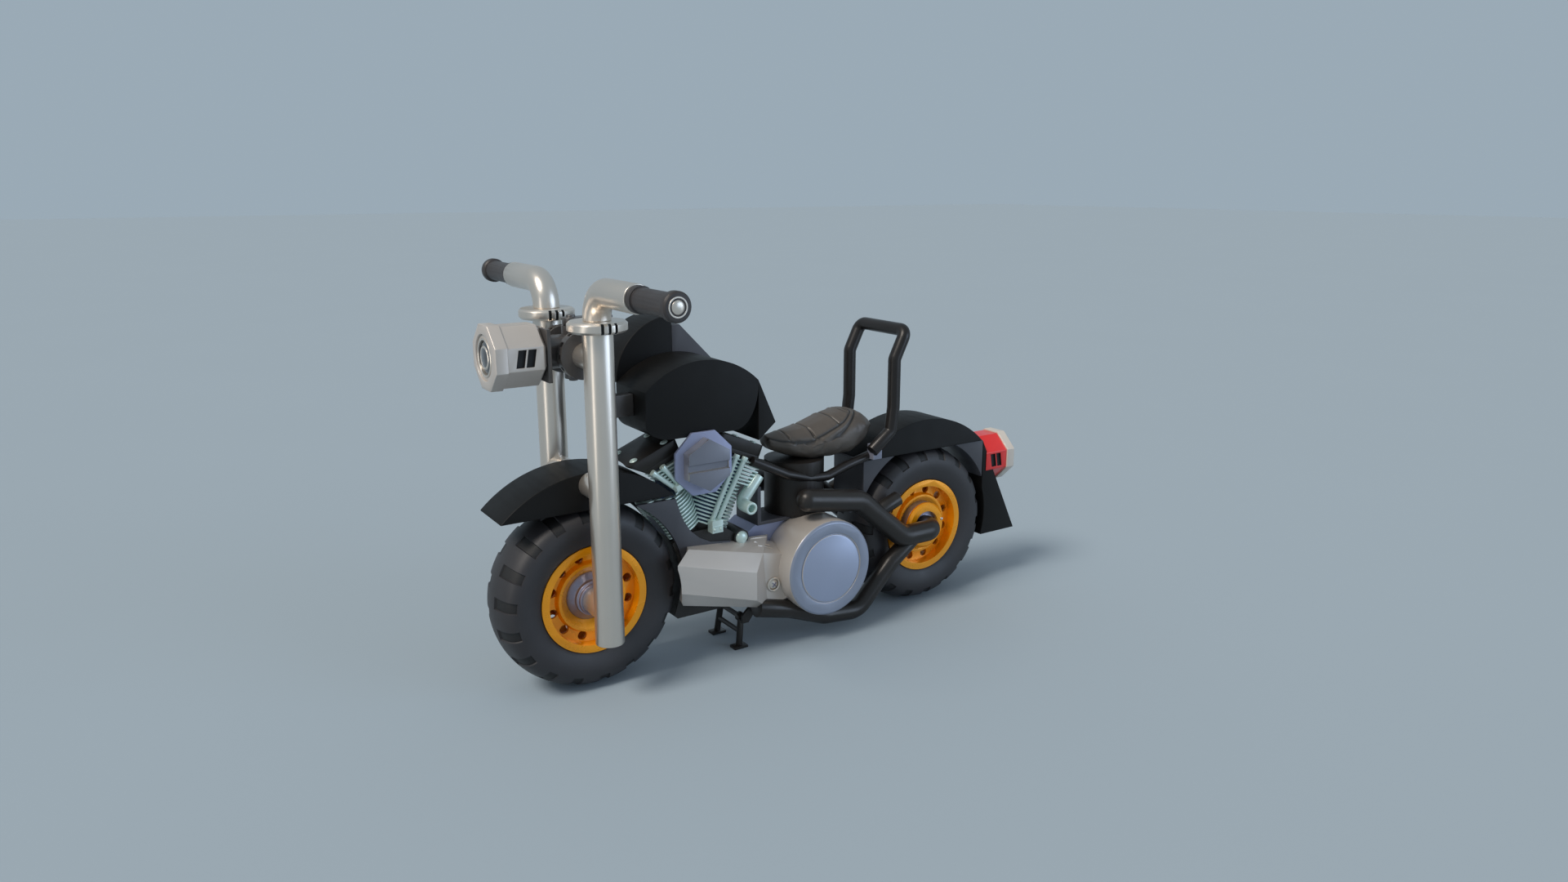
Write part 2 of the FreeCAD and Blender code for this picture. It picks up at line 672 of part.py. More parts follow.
def pushrod_pair(sign, low, low_spread, top, top_spread):
    # two tubes that fan out upward to collars; low and top are (along, up) on the bank
    tubes = []
    for side in (-1, 1):
        a = bank_point(sign, low[0] + side * low_spread, ROD_Y, low[1])
        b = bank_point(sign, top[0] + side * top_spread, ROD_Y, top[1])
        down = (a - b).normalize()
        tube = join([rod(a, b, ROD_R), rod(b, b + down * COLLAR_H, COLLAR_R)])
        tubes.append(biggest(tube.cut(NODES["lifter_blocks"])))
    return tubes


def make_pushrods():
    front = pushrod_pair(1, (-31.0, HEAD_JOINT + 12), 10.0, (13.0, ROD_TOP), 22.0)
    rear = pushrod_pair(-1, (11.0, 172.0), 11.5, (-9.5, ROD_TOP), 19.5)
    node("pushrod_tubes", *(front + rear))


def make_ports():
    # rear port turns out to the left, front port runs forward on the right
    x = CRANK_X - 180
    z = CRANK_Z + 206
    rear = bent_tube([at(x - 83, 88, z + 100), at(x, 90, z), at(x, PORT_OUT_Y, z)], PORT_R, PORT_BEND)
    node("rear_exhaust_port", rear.cut(cross_rod(x, z, PORT_OUT_Y - 40, PORT_OUT_Y, PORT_BORE_R)))
    x = CRANK_X + 124
    z = CRANK_Z + 114
    front = fore_rod(x - 90, x, -85, z, PORT_R).cut(fore_rod(x - 20, x, -85, z, PORT_BORE_R))
    node("front_exhaust_port", biggest(front.cut([NODES["crankcase"]] + steer_sweep())))


def air_ring(count, r, y):
    pts = []
    for i in range(count):
        a = 2 * math.pi * (i + 0.5) / count
        pts.append(at(CRANK_X + r * math.cos(a), y, AIR_Z + r * math.sin(a)))
    return Part.Face(polygon(pts))


def make_air_cleaner():
    # eight-sided back plate and six-sided cover with a level groove
    corner_r = AIR_OCT_R / math.cos(math.pi / 8)
    node("air_cleaner_back", air_ring(8, corner_r, AIR_BACK_Y).extrude(V(0, AIR_BACK_T, 0)))
    y0 = AIR_BACK_Y + AIR_BACK_T
    y1 = y0 + AIR_COVER_T
    cover = air_ring(6, AIR_HEX_R, y0).extrude(V(0, AIR_COVER_T, 0))
    groove = box(CRANK_X - AIR_HEX_R, CRANK_X + AIR_HEX_R, y1 - AIR_GROOVE_DEPTH, y1, AIR_GROOVE_LOW, AIR_GROOVE_HIGH)
    node("air_cleaner_cover", cover.cut(groove))


def make_intake():
    intake = cross_rod(CRANK_X, INTAKE_Z, INTAKE_IN_Y, AIR_BACK_Y, INTAKE_R)
    node("intake_tube", biggest(intake.cut([NODES["cylinder_front"], NODES["cylinder_rear"]])))


def make_engine():
    make_crankcase()
    make_air_cleaner()
    make_lifters()
    make_pushrods()
    make_ports()
    make_bank(1, "cylinder_front")
    make_bank(-1, "cylinder_rear")
    make_cover(1, "head_cover_front")
    make_cover(-1, "head_cover_rear")
    make_intake()


def make_drum():
    drum = cross_rod(DRUM_X, DRUM_Z, DRUM_IN_Y, DRUM_OUT_Y, DRUM_R)
    drum = drum.makeChamfer(DRUM_BEVEL, [e for e in drum.Edges if e.Closed and e.BoundBox.YMin > DRUM_OUT_Y - 1])
    floor_y = DRUM_OUT_Y - DRUM_GROOVE_DEPTH
    groove = cross_rod(DRUM_X, DRUM_Z, floor_y, DRUM_OUT_Y, DRUM_GROOVE_R)
    groove = groove.cut(cross_rod(DRUM_X, DRUM_Z, floor_y, DRUM_OUT_Y, DRUM_GROOVE_R - DRUM_GROOVE_W))
    node("clutch_drum", drum.cut(groove))


def make_primary():
    # bevelled case from the crankshaft back to the drum
    def outline(y, *corners):
        # corners are (from the crank or the drum, along, up)
        centre = {"crank": (CRANK_X, CRANK_Z), "drum": (DRUM_X, DRUM_Z)}
        return polygon([at(centre[c][0] + dx, y, centre[c][1] + dz) for c, dx, dz in corners])
    near = outline(PRIMARY_FACE_Y, ("crank", 161, 60), ("drum", 322, 38), ("drum", 322, -74), ("crank", 161, -46))
    outer = outline(PRIMARY_MID_Y, ("crank", 92, 96), ("drum", 265, 92), ("drum", 244, -136), ("crank", 119, -118))
    inner = outline(PRIMARY_IN_Y, ("crank", 57, 80), ("drum", 197, 134), ("drum", 214, -136), ("crank", 97, -118))
    back = outline(PRIMARY_IN_Y, ("drum", 274, 134), ("drum", 78, 70), ("drum", 104, -112), ("drum", 274, -136))
    front = outline(PRIMARY_MID_Y, ("drum", 274, 94), ("drum", 119, 58), ("drum", 134, -112), ("drum", 274, -136))
    case = join([loft(inner, outer), loft(outer, near), loft(back, front)])
    case = case.cut([NODES["clutch_drum"], NODES["crankcase"], Part.makeSphere(WHEEL_SWEEP_R, at(0, 0, HUB_Z))])
    node("primary_case", biggest(case))


def make_side_tubes():
    # upper tube ends in an elbow that turns in to the hub and holds the axle
    y = TUBE_Y
    nose = at(REAR_X + 663, y, HUB_Z + 239)
    run = bent_tube([nose, at(REAR_X + 410, y, HUB_Z + 196), at(REAR_X + 180, y, HUB_Z), at(REAR_X + 100, y, HUB_Z)],
                    UPPER_R, TUBE_BEND)
    elbow = bent_tube([at(REAR_X + 100, y, HUB_Z), at(REAR_X, y, HUB_Z),
                       at(REAR_X, REAR_HUB_HALF + SIDE_PLAY, HUB_Z)], UPPER_R, ELBOW_BEND)
    upper = join([Part.makeSphere(UPPER_R, nose), run, elbow])
    node("upper_side_tubes", *both_sides(upper.cut(axle_bar())))
    y = LOWER_Y
    lower = bent_tube([at(-640, y, 186), at(REAR_X + 745, y, 148), at(REAR_X + 575, y, 82), at(REAR_X + 405, y, 66),
                       at(REAR_X + 235, y, 240), at(REAR_X + 115, y, 330)], LOWER_R, TUBE_BEND)
    lower = lower.cut([NODES["upper_side_tubes"], NODES["clutch_drum"], NODES["primary_case"]])
    node("lower_side_tubes", *both_sides(biggest(lower)))


def axle_bar():
    return cross_rod(REAR_X, HUB_Z, -TUBE_Y, TUBE_Y, AXLE_R)


def make_gearbox():
    # block behind the crankcase, and the shelf that carries the oil tank
    back = REAR_X + 515
    front = CRANK_X - 203
    block = side_plate([(front, 250), (front, 440), (front - 60, 484), (back + 60, 484), (back, 430), (back, 260),
                        (back + 80, 205), (front - 50, 205)], -GEARBOX_HALF, DRUM_IN_Y)
    node("gearbox", block.cut([NODES["crankcase"], NODES["primary_case"]]))
    shelf = box(REAR_X + 450, -700, -TRAY_HALF, TRAY_HALF, TRAY_TOP - TRAY_T, TRAY_TOP)
    upright = box(-716, -700, -TRAY_HALF, TRAY_HALF, TRAY_TOP - TRAY_T, TRAY_TOP + 142)
    shelf = join([shelf, upright]).cut([NODES["cylinder_rear"], NODES["rear_exhaust_port"], NODES["clutch_drum"]])
    node("battery_tray", biggest(shelf))


def make_cross_members():
    # bars that tie the side tubes to the engine and the tray
    low = cross_rod(CROSS_X, CROSS_Z, -TUBE_Y, TUBE_Y, CROSS_R)
    low = low.cut([NODES["lower_side_tubes"], NODES["crankcase"], NODES["gearbox"], NODES["primary_case"]])
    high = cross_rod(REAR_X + 450, TRAY_TOP + 14, -TUBE_Y, TUBE_Y, 16)
    high = high.cut([NODES["upper_side_tubes"], NODES["battery_tray"]])
    node("cross_members", biggest(low), biggest(high))


def make_rear_guard():
    # mudguard, the grey arch panels under it and the flap behind the wheel
    node("rear_fender", make_guard(REAR_X))
    half = GUARD_HALF - 4
    panel = box(REAR_X - 334, REAR_X + 335, -half, half, HUB_Z + 126, GUARD_BASE_Z)
    panel = panel.cut(cross_rod(REAR_X, HUB_Z, -half, half, ARCH_R))
    node("rear_arch", *panel.Solids)
    flap = side_plate([(REAR_X - 334, GUARD_BASE_Z - 2), (REAR_X - 342, FLAP_LOW), (REAR_X - TAIL_REACH, FLAP_LOW)],
                      -half, half)
    node("rear_flap", flap.cut(cross_rod(REAR_X, HUB_Z, -half, half, TYRE_R + 12)))


def make_front_arch():
    # grey gusset behind the front wheel, hollow between its two cheeks
    top = GUARD_BASE_Z - 14
    outline = [(-172, top), (-330, top), (-338, 635), (-360, 574), (-388, 529), (-426, 494), (-475, 469),
               (-560, 457), (-560, 420), (-300, 420)]
    cheek = side_plate(outline, GUARD_HALF - ARCH_T, GUARD_HALF)
    cheek = cheek.cut(cross_rod(0, HUB_Z, GUARD_HALF - ARCH_T, GUARD_HALF, WHEEL_SWEEP_R))
    around = [NODES[n] for n in ("primary_case", "lifter_blocks", "pushrod_tubes", "crankcase", "cylinder_front",
                                 "front_exhaust_port")]
    node("front_arch", *[biggest(side.cut(around)) for side in both_sides(cheek)])


def make_tail_lamp():
    bezel = lamp_bezel(-1, TAIL_X, TAIL_Z).cut(fore_rod(TAIL_X, TAIL_X + 25, 0, TAIL_Z, LENS_R))
    node("tail_lamp_bezel", bezel)
    body = lamp_body(-1, TAIL_X, TAIL_Z, LAMP_LENGTH)
    body = body.cut([NODES["rear_flap"], NODES["rear_fender"]] + lamp_slots(-1, TAIL_X + BEZEL_T + 28, TAIL_Z))
    node("tail_lamp_body", biggest(body))
    node("tail_lamp_lens", fore_rod(TAIL_X + 11, TAIL_X + 25, 0, TAIL_Z, LENS_R))


def seat_section(x, half, z0, z1):
    # rounded underside, upright flanks and a low crown
    r = min(34.0, half * 0.4)
    side = z0 + (z1 - z0) * 0.62
    shoulder = half * 0.62
    return polygon([at(x, -half, z0 + r), at(x, -half + r, z0), at(x, half - r, z0), at(x, half, z0 + r),
                    at(x, half, side), at(x, shoulder, z1 - 7), at(x, 0, z1), at(x, -shoulder, z1 - 7),
                    at(x, -half, side)])


def make_seat():
    # saddle: narrow nose, broad crowned rear
    low = SEAT_LOW
    node("seat", loft(seat_section(REAR_X + 760, 40, low + 62, low + 112),
                      seat_section(REAR_X + 685, 78, low + 28, low + 110),
                      seat_section(REAR_X + 575, 102, low, low + 124),
                      seat_section(REAR_X + 475, 118, low, low + 154),
                      seat_section(REAR_X + 385, 120, low + 6, low + 174),
                      seat_section(REAR_X + 320, 108, low + 34, low + 168),
                      seat_section(REAR_X + 269, 76, low + 76, low + 136)))


def make_seat_supports():
    y = RAIL_Y
    rail = bent_tube([at(-660, y, 756), at(REAR_X + 715, y, 679), at(REAR_X + 609, y, 647), at(REAR_X + 519, y, 643),
                      at(REAR_X + 425, y, 672), at(REAR_X + 310, y, 700)], RAIL_R, 40)
    rail = rail.cut([NODES[n] for n in ("cylinder_rear", "head_cover_rear", "rear_fender", "rear_arch")])
    node("seat_rails", *both_sides(biggest(rail)))
    tank = rod(at(REAR_X + 610, 0, TRAY_TOP), at(REAR_X + 610, 0, SEAT_LOW - SOFT_GAP), OIL_TANK_R)
    node("oil_tank", biggest(tank.cut([NODES["clutch_drum"], NODES["seat_rails"]])))


def make_sissy_bar():
    # loop over the rear guard, with a pad each side where its legs end
    y = BAR_LEG_Y
    leg = [(REAR_X + 330, 728), (REAR_X + 235, 800), (REAR_X + 223, 900), (REAR_X + 223, 1095), (REAR_X + 167, 1207)]
    path = [at(x, y, z) for x, z in leg] + [at(x, -y, z) for x, z in reversed(leg)]
    node("sissy_bar", bent_tube(path, BAR_TUBE_R, 34))
    pad = box(REAR_X + 277, REAR_X + 321, GUARD_HALF, y, 690, 750)
    node("sissy_bar_mounts", *both_sides(biggest(pad.cut([NODES["sissy_bar"], NODES["seat_rails"]]))))


def make_tips():
    # short tips that leave the upper tubes rearward and upward, open at the end
    root = at(REAR_X + 355, TUBE_Y, HUB_Z + 118)
    end = at(REAR_X + 210, TUBE_Y, HUB_Z + 172)
    inward = (root - end).normalize()
    tip = rod(root, end, TIP_R).cut(rod(end, end + inward * TIP_BORE_DEPTH, TIP_BORE_R))
    pieces = tip.cut(NODES["upper_side_tubes"]).Solids
    node("exhaust_tips", *both_sides(min(pieces, key=lambda s: s.CenterOfMass.x)))


def make_stand():
    # two-legged stand swinging about a cross pin, feet ahead of the pin when it is down
    pin = cross_rod(STAND_X, STAND_Z, -STAND_REACH, STAND_REACH, STAND_PIN_R)
    lug = side_plate([(STAND_X + 14, STAND_Z - 14), (STAND_X + 14, STAND_Z + 18), (CROSS_X + 14, CROSS_Z + 10),
                      (CROSS_X - 14, CROSS_Z + 10), (CROSS_X - 14, CROSS_Z - 12), (STAND_X - 14, STAND_Z - 14)],
                     STAND_REACH - LUG_T, STAND_REACH)
    bracket = join([pin] + both_sides(lug))
    around = [NODES[n] for n in ("crankcase", "cross_members", "gearbox", "primary_case")]
    node("stand_bracket", biggest(bracket.cut(around)))
    foot_x = STAND_X + STAND_LEAD
    foot_y = STAND_Y + STAND_SPREAD
    eye = cross_rod(STAND_X, STAND_Z, STAND_Y - STAND_TUBE_R, STAND_Y + STAND_TUBE_R, STAND_EYE_R)
    leg = rod(at(STAND_X, STAND_Y, STAND_Z), at(foot_x, foot_y, FOOT_T), STAND_TUBE_R)
    foot = box(foot_x - FOOT_L / 2, foot_x + FOOT_L / 2, foot_y - FOOT_W / 2, foot_y + FOOT_W / 2, 0, FOOT_T)
    tie = cross_rod(STAND_X + STAND_LEAD / 2, STAND_Z / 2 + 3, -STAND_Y, STAND_Y, 10)
    stand = join([tie] + both_sides(eye) + both_sides(leg) + both_sides(foot))
    bore = cross_rod(STAND_X, STAND_Z, -STAND_REACH, STAND_REACH, STAND_PIN_R + RUN_FIT)
    floor = box(STAND_X - FOOT_L, foot_x + FOOT_L, -STAND_REACH, STAND_REACH, -FOOT_L, 0)
    node("centre_stand", biggest(stand.cut([bore, floor])))


def build():
    make_front_wheel()
    make_rear_wheel()
    make_fork()
    make_front_axle()
    make_bars()
    make_crown()
    make_neck()
    make_front_guard()
    make_headlamp()
    make_tank()
    make_side_cowl()
    make_engine()
    make_drum()
    make_primary()
    make_side_tubes()
    node("rear_axle", axle_bar())
    make_gearbox()
    make_cross_members()
    make_rear_guard()
    make_front_arch()
    make_tail_lamp()
    make_seat()
    make_seat_supports()
    make_sissy_bar()
    make_tips()
    make_stand()


def export():
    os.makedirs("parts", exist_ok=True)
    for name, shape in NODES.items():
        shape.exportStep("parts/" + name + ".step")
        b = shape.BoundBox
        print("%-20s solids %d valid %s vol %.2f L  x %.0f..%.0f y %.0f..%.0f z %.0f..%.0f" % (
            name, len(shape.Solids), shape.isValid(), shape.Volume / 1e6, b.XMin - FRONT_X, b.XMax - FRONT_X,
            b.YMin, b.YMax, b.ZMin, b.ZMax))


build()
export()
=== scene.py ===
import bmesh
import bpy
import json
import math
from bpy.props import FloatProperty, FloatVectorProperty, IntProperty, PointerProperty
from mathutils import Matrix, Vector
from mathutils.bvhtree import BVHTree
from mathutils.geometry import interpolate_bezier
from mathutils.kdtree import KDTree


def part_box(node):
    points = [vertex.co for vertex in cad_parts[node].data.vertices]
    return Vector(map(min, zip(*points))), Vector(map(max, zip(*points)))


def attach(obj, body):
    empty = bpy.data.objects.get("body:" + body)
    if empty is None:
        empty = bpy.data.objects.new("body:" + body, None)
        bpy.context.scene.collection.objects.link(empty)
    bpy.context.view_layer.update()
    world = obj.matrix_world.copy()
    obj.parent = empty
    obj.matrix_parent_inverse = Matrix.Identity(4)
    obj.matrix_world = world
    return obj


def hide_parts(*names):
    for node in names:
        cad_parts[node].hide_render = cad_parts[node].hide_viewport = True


bl_info = {
    "name": "V-twin Cruiser Looks",
    "version": (1, 0, 0),
    "blender": (4, 5, 0),
    "location": "View3D > Sidebar > Cruiser",
    "description": "Finishes, soft parts and small fittings for the cruiser motorcycle",
    "category": "Object",
}

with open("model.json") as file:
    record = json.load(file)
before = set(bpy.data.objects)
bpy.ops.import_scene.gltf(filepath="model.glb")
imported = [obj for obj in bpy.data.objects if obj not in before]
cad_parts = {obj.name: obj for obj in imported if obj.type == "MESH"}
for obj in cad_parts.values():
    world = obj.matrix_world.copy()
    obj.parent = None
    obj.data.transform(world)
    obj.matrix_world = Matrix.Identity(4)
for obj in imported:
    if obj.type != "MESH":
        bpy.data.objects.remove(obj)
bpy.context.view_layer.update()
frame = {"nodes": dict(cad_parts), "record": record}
RECORD = frame["record"]
BODY_OF = {node: body for body, nodes in RECORD["behaviour"]["bodies"].items() for node in nodes}
SLOT_OF = {row["node"]: row["material_slot"] for row in RECORD["subparts"]}

# Places are measured back from the front axle, left of the centre plane and up from the ground, in metres.
FRONT_LOW, FRONT_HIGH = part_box("front_tyre")
REAR_LOW, REAR_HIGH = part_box("rear_tyre")
FRONT_X = (FRONT_LOW.x + FRONT_HIGH.x) / 2
REAR_X = (REAR_LOW.x + REAR_HIGH.x) / 2
HUB_Z = (FRONT_LOW.z + FRONT_HIGH.z) / 2

MERGE = 0.00002
FLAT = math.radians(0.8)
SHARP = math.radians(32)
ACROSS = Vector((0, 1, 0))

# Camera, from the photograph: place and view directions, and a lens for a 36 mm wide sensor.
CAMERA_PLACE = (1.41616, 3.44684, 1.79237)
CAMERA_RIGHT = Vector((-0.83259, 0.55389, 0.0))
CAMERA_UP = Vector((-0.13099, -0.19691, 0.97163))
CAMERA_AHEAD = Vector((-0.53818, -0.80897, -0.23650))
CAMERA_LENS = 24.546
SENSOR = 36.0


def place(x, y, z):
    """Point in the row frame for a place measured from the front axle."""
    return Vector((FRONT_X + x, y, z))


def srgb(red, green, blue):
    """Scene colour of a screen colour given as 0 to 255."""
    def linear(value):
        v = value / 255.0
        return v / 12.92 if v <= 0.04045 else ((v + 0.055) / 1.055) ** 2.4
    return (linear(red), linear(green), linear(blue))


def colour_prop(name, description, rgb):
    return FloatVectorProperty(name=name, description=description, subtype="COLOR", size=3, min=0.0, max=1.0,
                               default=srgb(*rgb))


def length_prop(name, description, metres):
    return FloatProperty(name=name, description=description, unit="LENGTH", default=metres, min=0.0)


class CruiserColours(bpy.types.PropertyGroup):
    """Colours of the finishes"""
    tyre: colour_prop("Tyre", "Rubber of both tyres", (46, 45, 48))
    # painted shade: the floors of the tread pockets are darker than the tyre rubber, standing for the shade
    # in them
    pocket_shade: colour_prop("Tyre pocket", "Floor of the tread pockets", (22, 21, 22))
    rim: colour_prop("Rim", "Yellow enamel of the wheels", (255, 164, 10))
    steel: colour_prop("Steel", "Hubs and axles", (150, 148, 166))
    bright: colour_prop("Bright metal", "Fork, bars, lamp and primary case", (222, 213, 202))
    casting: colour_prop("Bright casting", "Primary case, drum and lamp shell", (204, 197, 190))
    ring_face: colour_prop("Drum face", "Outer face of the clutch drum", (150, 158, 176))
    disc: colour_prop("Drum disc", "Centre of the clutch drum", (172, 182, 206))
    black: colour_prop("Black paint", "Tank, pod and mudguards", (15, 14, 13))
    grey: colour_prop("Frame grey", "Panels and closed engine parts", (70, 71, 77))
    dark: colour_prop("Dark casting", "Crankcase, barrel bases and brackets", (38, 35, 33))
    fins: colour_prop("Fin alloy", "Cylinder fins and pushrods", (208, 228, 222))
    # painted shade: the cylinder walls between the fins get a dark blue that stands for the shade between
    # them
    gap_shade: colour_prop("Fin gaps", "Cylinder walls between the fins", (62, 84, 122))
    cover: colour_prop("Head covers", "Black covers over the cylinders", (34, 30, 27))
    cleaner: colour_prop("Air cleaner plate", "Back plate of the air cleaner", (150, 158, 190))
    slate: colour_prop("Air cleaner cover", "Cover of the air cleaner", (122, 126, 138))
    mount: colour_prop("Backrest mount", "Plates that carry the backrest loop", (134, 138, 154))
    ring: colour_prop("Steering ring", "Crown, bracket and rings of the steering", (96, 93, 92))
    pipe: colour_prop("Pipe black", "Side tubes and stand", (44, 41, 39))
    bar: colour_prop("Bar black", "Backrest loop and seat rails", (36, 33, 32))
    hide: colour_prop("Hide", "Leather of the seat", (80, 74, 68))
    thread: colour_prop("Thread", "Stitches of the seat", (46, 42, 40))
    grip: colour_prop("Grip", "Rubber of the grips", (58, 54, 54))
    lens: colour_prop("Lens", "Glass of the headlamp", (42, 40, 42))
    red: colour_prop("Lamp red", "Body of the tail lamp", (222, 38, 36))
    cream: colour_prop("Lamp bezel", "Rim of the tail lamp", (208, 200, 190))
    # painted shade: the insides of slots, notches and bores are near black, standing for the shade in them
    slot: colour_prop("Slot black", "Inside of slots and bores", (10, 10, 12))
    floor: colour_prop("Floor", "Pale floor and backdrop", (158, 174, 186))


class CruiserSizes(bpy.types.PropertyGroup):
    """Sizes of the small forms"""
    rounding: length_prop("Edge rounding", "Radius of ordinary edges", 0.0028)
    fine_rounding: length_prop("Fine rounding", "Radius of thin edges", 0.0011)
    tread_pockets: IntProperty(name="Tread pockets", description="Pockets on each shoulder of a tyre",
                               default=18, min=6, max=30)
    pocket_depth: length_prop("Pocket depth", "Depth of the tread pockets", 0.0055)
    cover_bolt: length_prop("Cover bolt", "Radius of the bolts on the head covers", 0.0155)
    stitch_pitch: length_prop("Stitch pitch", "Distance from stitch to stitch on the seat", 0.0085)


def sizes():
    return bpy.context.scene.cruiser_sizes


def colours():
    return bpy.context.scene.cruiser_colours


# Finishes: each wanders about its own mean, and the middle of a noise spans the whole range
NOISE_MIDDLE = (0.3, 0.7)
COAT_ROUGH = 0.16
SMOOTH_GRAIN = (120.0, 0.00001)
SMUDGE_FINER = 2.3
# painted shade: the mesh marks where the seam and pleat lines are darkened, and the hide there is darkened
# to this share of its colour
SEAM_SHADE_MARK = "seam"
SEAM_SHADE = 0.12
HIDE_CELLS = 520.0
HIDE_WANDER = 0.07
HIDE_GLOSS = (0.38, 0.46)


def noise(tree, coords, scale, detail=3.0):
    texture = tree.nodes.new("ShaderNodeTexNoise")
    texture.inputs["Scale"].default_value = scale
    texture.inputs["Detail"].default_value = detail
    tree.links.new(coords, texture.inputs["Vector"])
    return texture.outputs["Fac"]


def remap(tree, value, low, high):
    node = tree.nodes.new("ShaderNodeMapRange")
    node.inputs["From Min"].default_value, node.inputs["From Max"].default_value = NOISE_MIDDLE
    node.inputs["To Min"].default_value = low
    node.inputs["To Max"].default_value = high
    tree.links.new(value, node.inputs["Value"])
    return node.outputs["Result"]


def tinted(tree, value, colour, spread):
    """Colour that wanders a little about its mean"""
    ramp = tree.nodes.new("ShaderNodeValToRGB")
    for stop, position, share in zip(ramp.color_ramp.elements, NOISE_MIDDLE, (1 - spread, 1 + spread)):
        stop.position = position
        stop.color = tuple(min(1.0, c * share) for c in colour) + (1.0,)
    tree.links.new(value, ramp.inputs["Fac"])
    return ramp.outputs["Color"]


def bumped(tree, value, distance, shader, strength=1.0):
    bump = tree.nodes.new("ShaderNodeBump")
    bump.inputs["Distance"].default_value = distance
    bump.inputs["Strength"].default_value = strength
    tree.links.new(value, bump.inputs["Height"])
    tree.links.new(bump.outputs["Normal"], shader.inputs["Normal"])


def new_material(name):
    """A material with its tree, shader and object coordinates"""
    material = bpy.data.materials.new(name)
    material.use_nodes = True
    tree = material.node_tree
    coords = tree.nodes.new("ShaderNodeTexCoord").outputs["Object"]
    return material, tree, tree.nodes["Principled BSDF"], coords


def finish(name, colour, metallic, rough, coat=0.0, mottle=(9.0, 0.05), grain=(260.0, 0.0001),
           rough_spread=0.04, shine=0.5):
    """Procedural finish: mottle is (scale, spread) of the colour, grain is (scale, height) of the bump"""
    if name in bpy.data.materials:
        return bpy.data.materials[name]
    material, tree, shader, coords = new_material(name)
    shader.inputs["Metallic"].default_value = metallic
    shader.inputs["Coat Weight"].default_value = coat
    shader.inputs["Coat Roughness"].default_value = COAT_ROUGH
    shader.inputs["Specular IOR Level"].default_value = shine
    wander = noise(tree, coords, mottle[0])
    tree.links.new(tinted(tree, wander, colour, mottle[1]), shader.inputs["Base Color"])
    smudge = noise(tree, coords, mottle[0] * SMUDGE_FINER, 5.0)
    gloss = remap(tree, smudge, rough - rough_spread, rough + rough_spread)
    tree.links.new(gloss, shader.inputs["Roughness"])
    bumped(tree, noise(tree, coords, grain[0], 2.0), grain[1], shader)
    return material


def leather(name, colour):
    """Hide: small cells, a rubbed uneven shine, and painted shade in the seams and pleats where the mesh
    marks them
    """
    if name in bpy.data.materials:
        return bpy.data.materials[name]
    material, tree, shader, coords = new_material(name)
    cells = tree.nodes.new("ShaderNodeTexVoronoi")
    cells.feature = "SMOOTH_F1"
    cells.inputs["Scale"].default_value = HIDE_CELLS
    tree.links.new(coords, cells.inputs["Vector"])
    wander = noise(tree, coords, 11.0, 4.0)
    seam = tree.nodes.new("ShaderNodeAttribute")
    seam.attribute_name = SEAM_SHADE_MARK
    crease_shade = tree.nodes.new("ShaderNodeMix")
    crease_shade.data_type = "RGBA"
    tree.links.new(seam.outputs["Fac"], crease_shade.inputs["Factor"])
    # sockets 6 and 7 and output 2 are the colour ones of a mix node
    tree.links.new(tinted(tree, wander, colour, HIDE_WANDER), crease_shade.inputs[6])
    # painted shade: the hide darkened in the pressed lines
    crease_shade.inputs[7].default_value = tuple(c * SEAM_SHADE for c in colour) + (1.0,)
    tree.links.new(crease_shade.outputs[2], shader.inputs["Base Color"])
    tree.links.new(remap(tree, wander, *HIDE_GLOSS), shader.inputs["Roughness"])
    bumped(tree, cells.outputs["Distance"], 0.0002, shader, 0.3)
    return material


def lamp_glass(name, colour, clear):
    """Coated glass that lets a little light through"""
    material = finish(name, colour, 0.0, 0.10, coat=1.0, mottle=(20.0, 0.03), grain=(90.0, 0.0001),
                      rough_spread=0.03)
    material.node_tree.nodes["Principled BSDF"].inputs["Transmission Weight"].default_value = clear
    return material


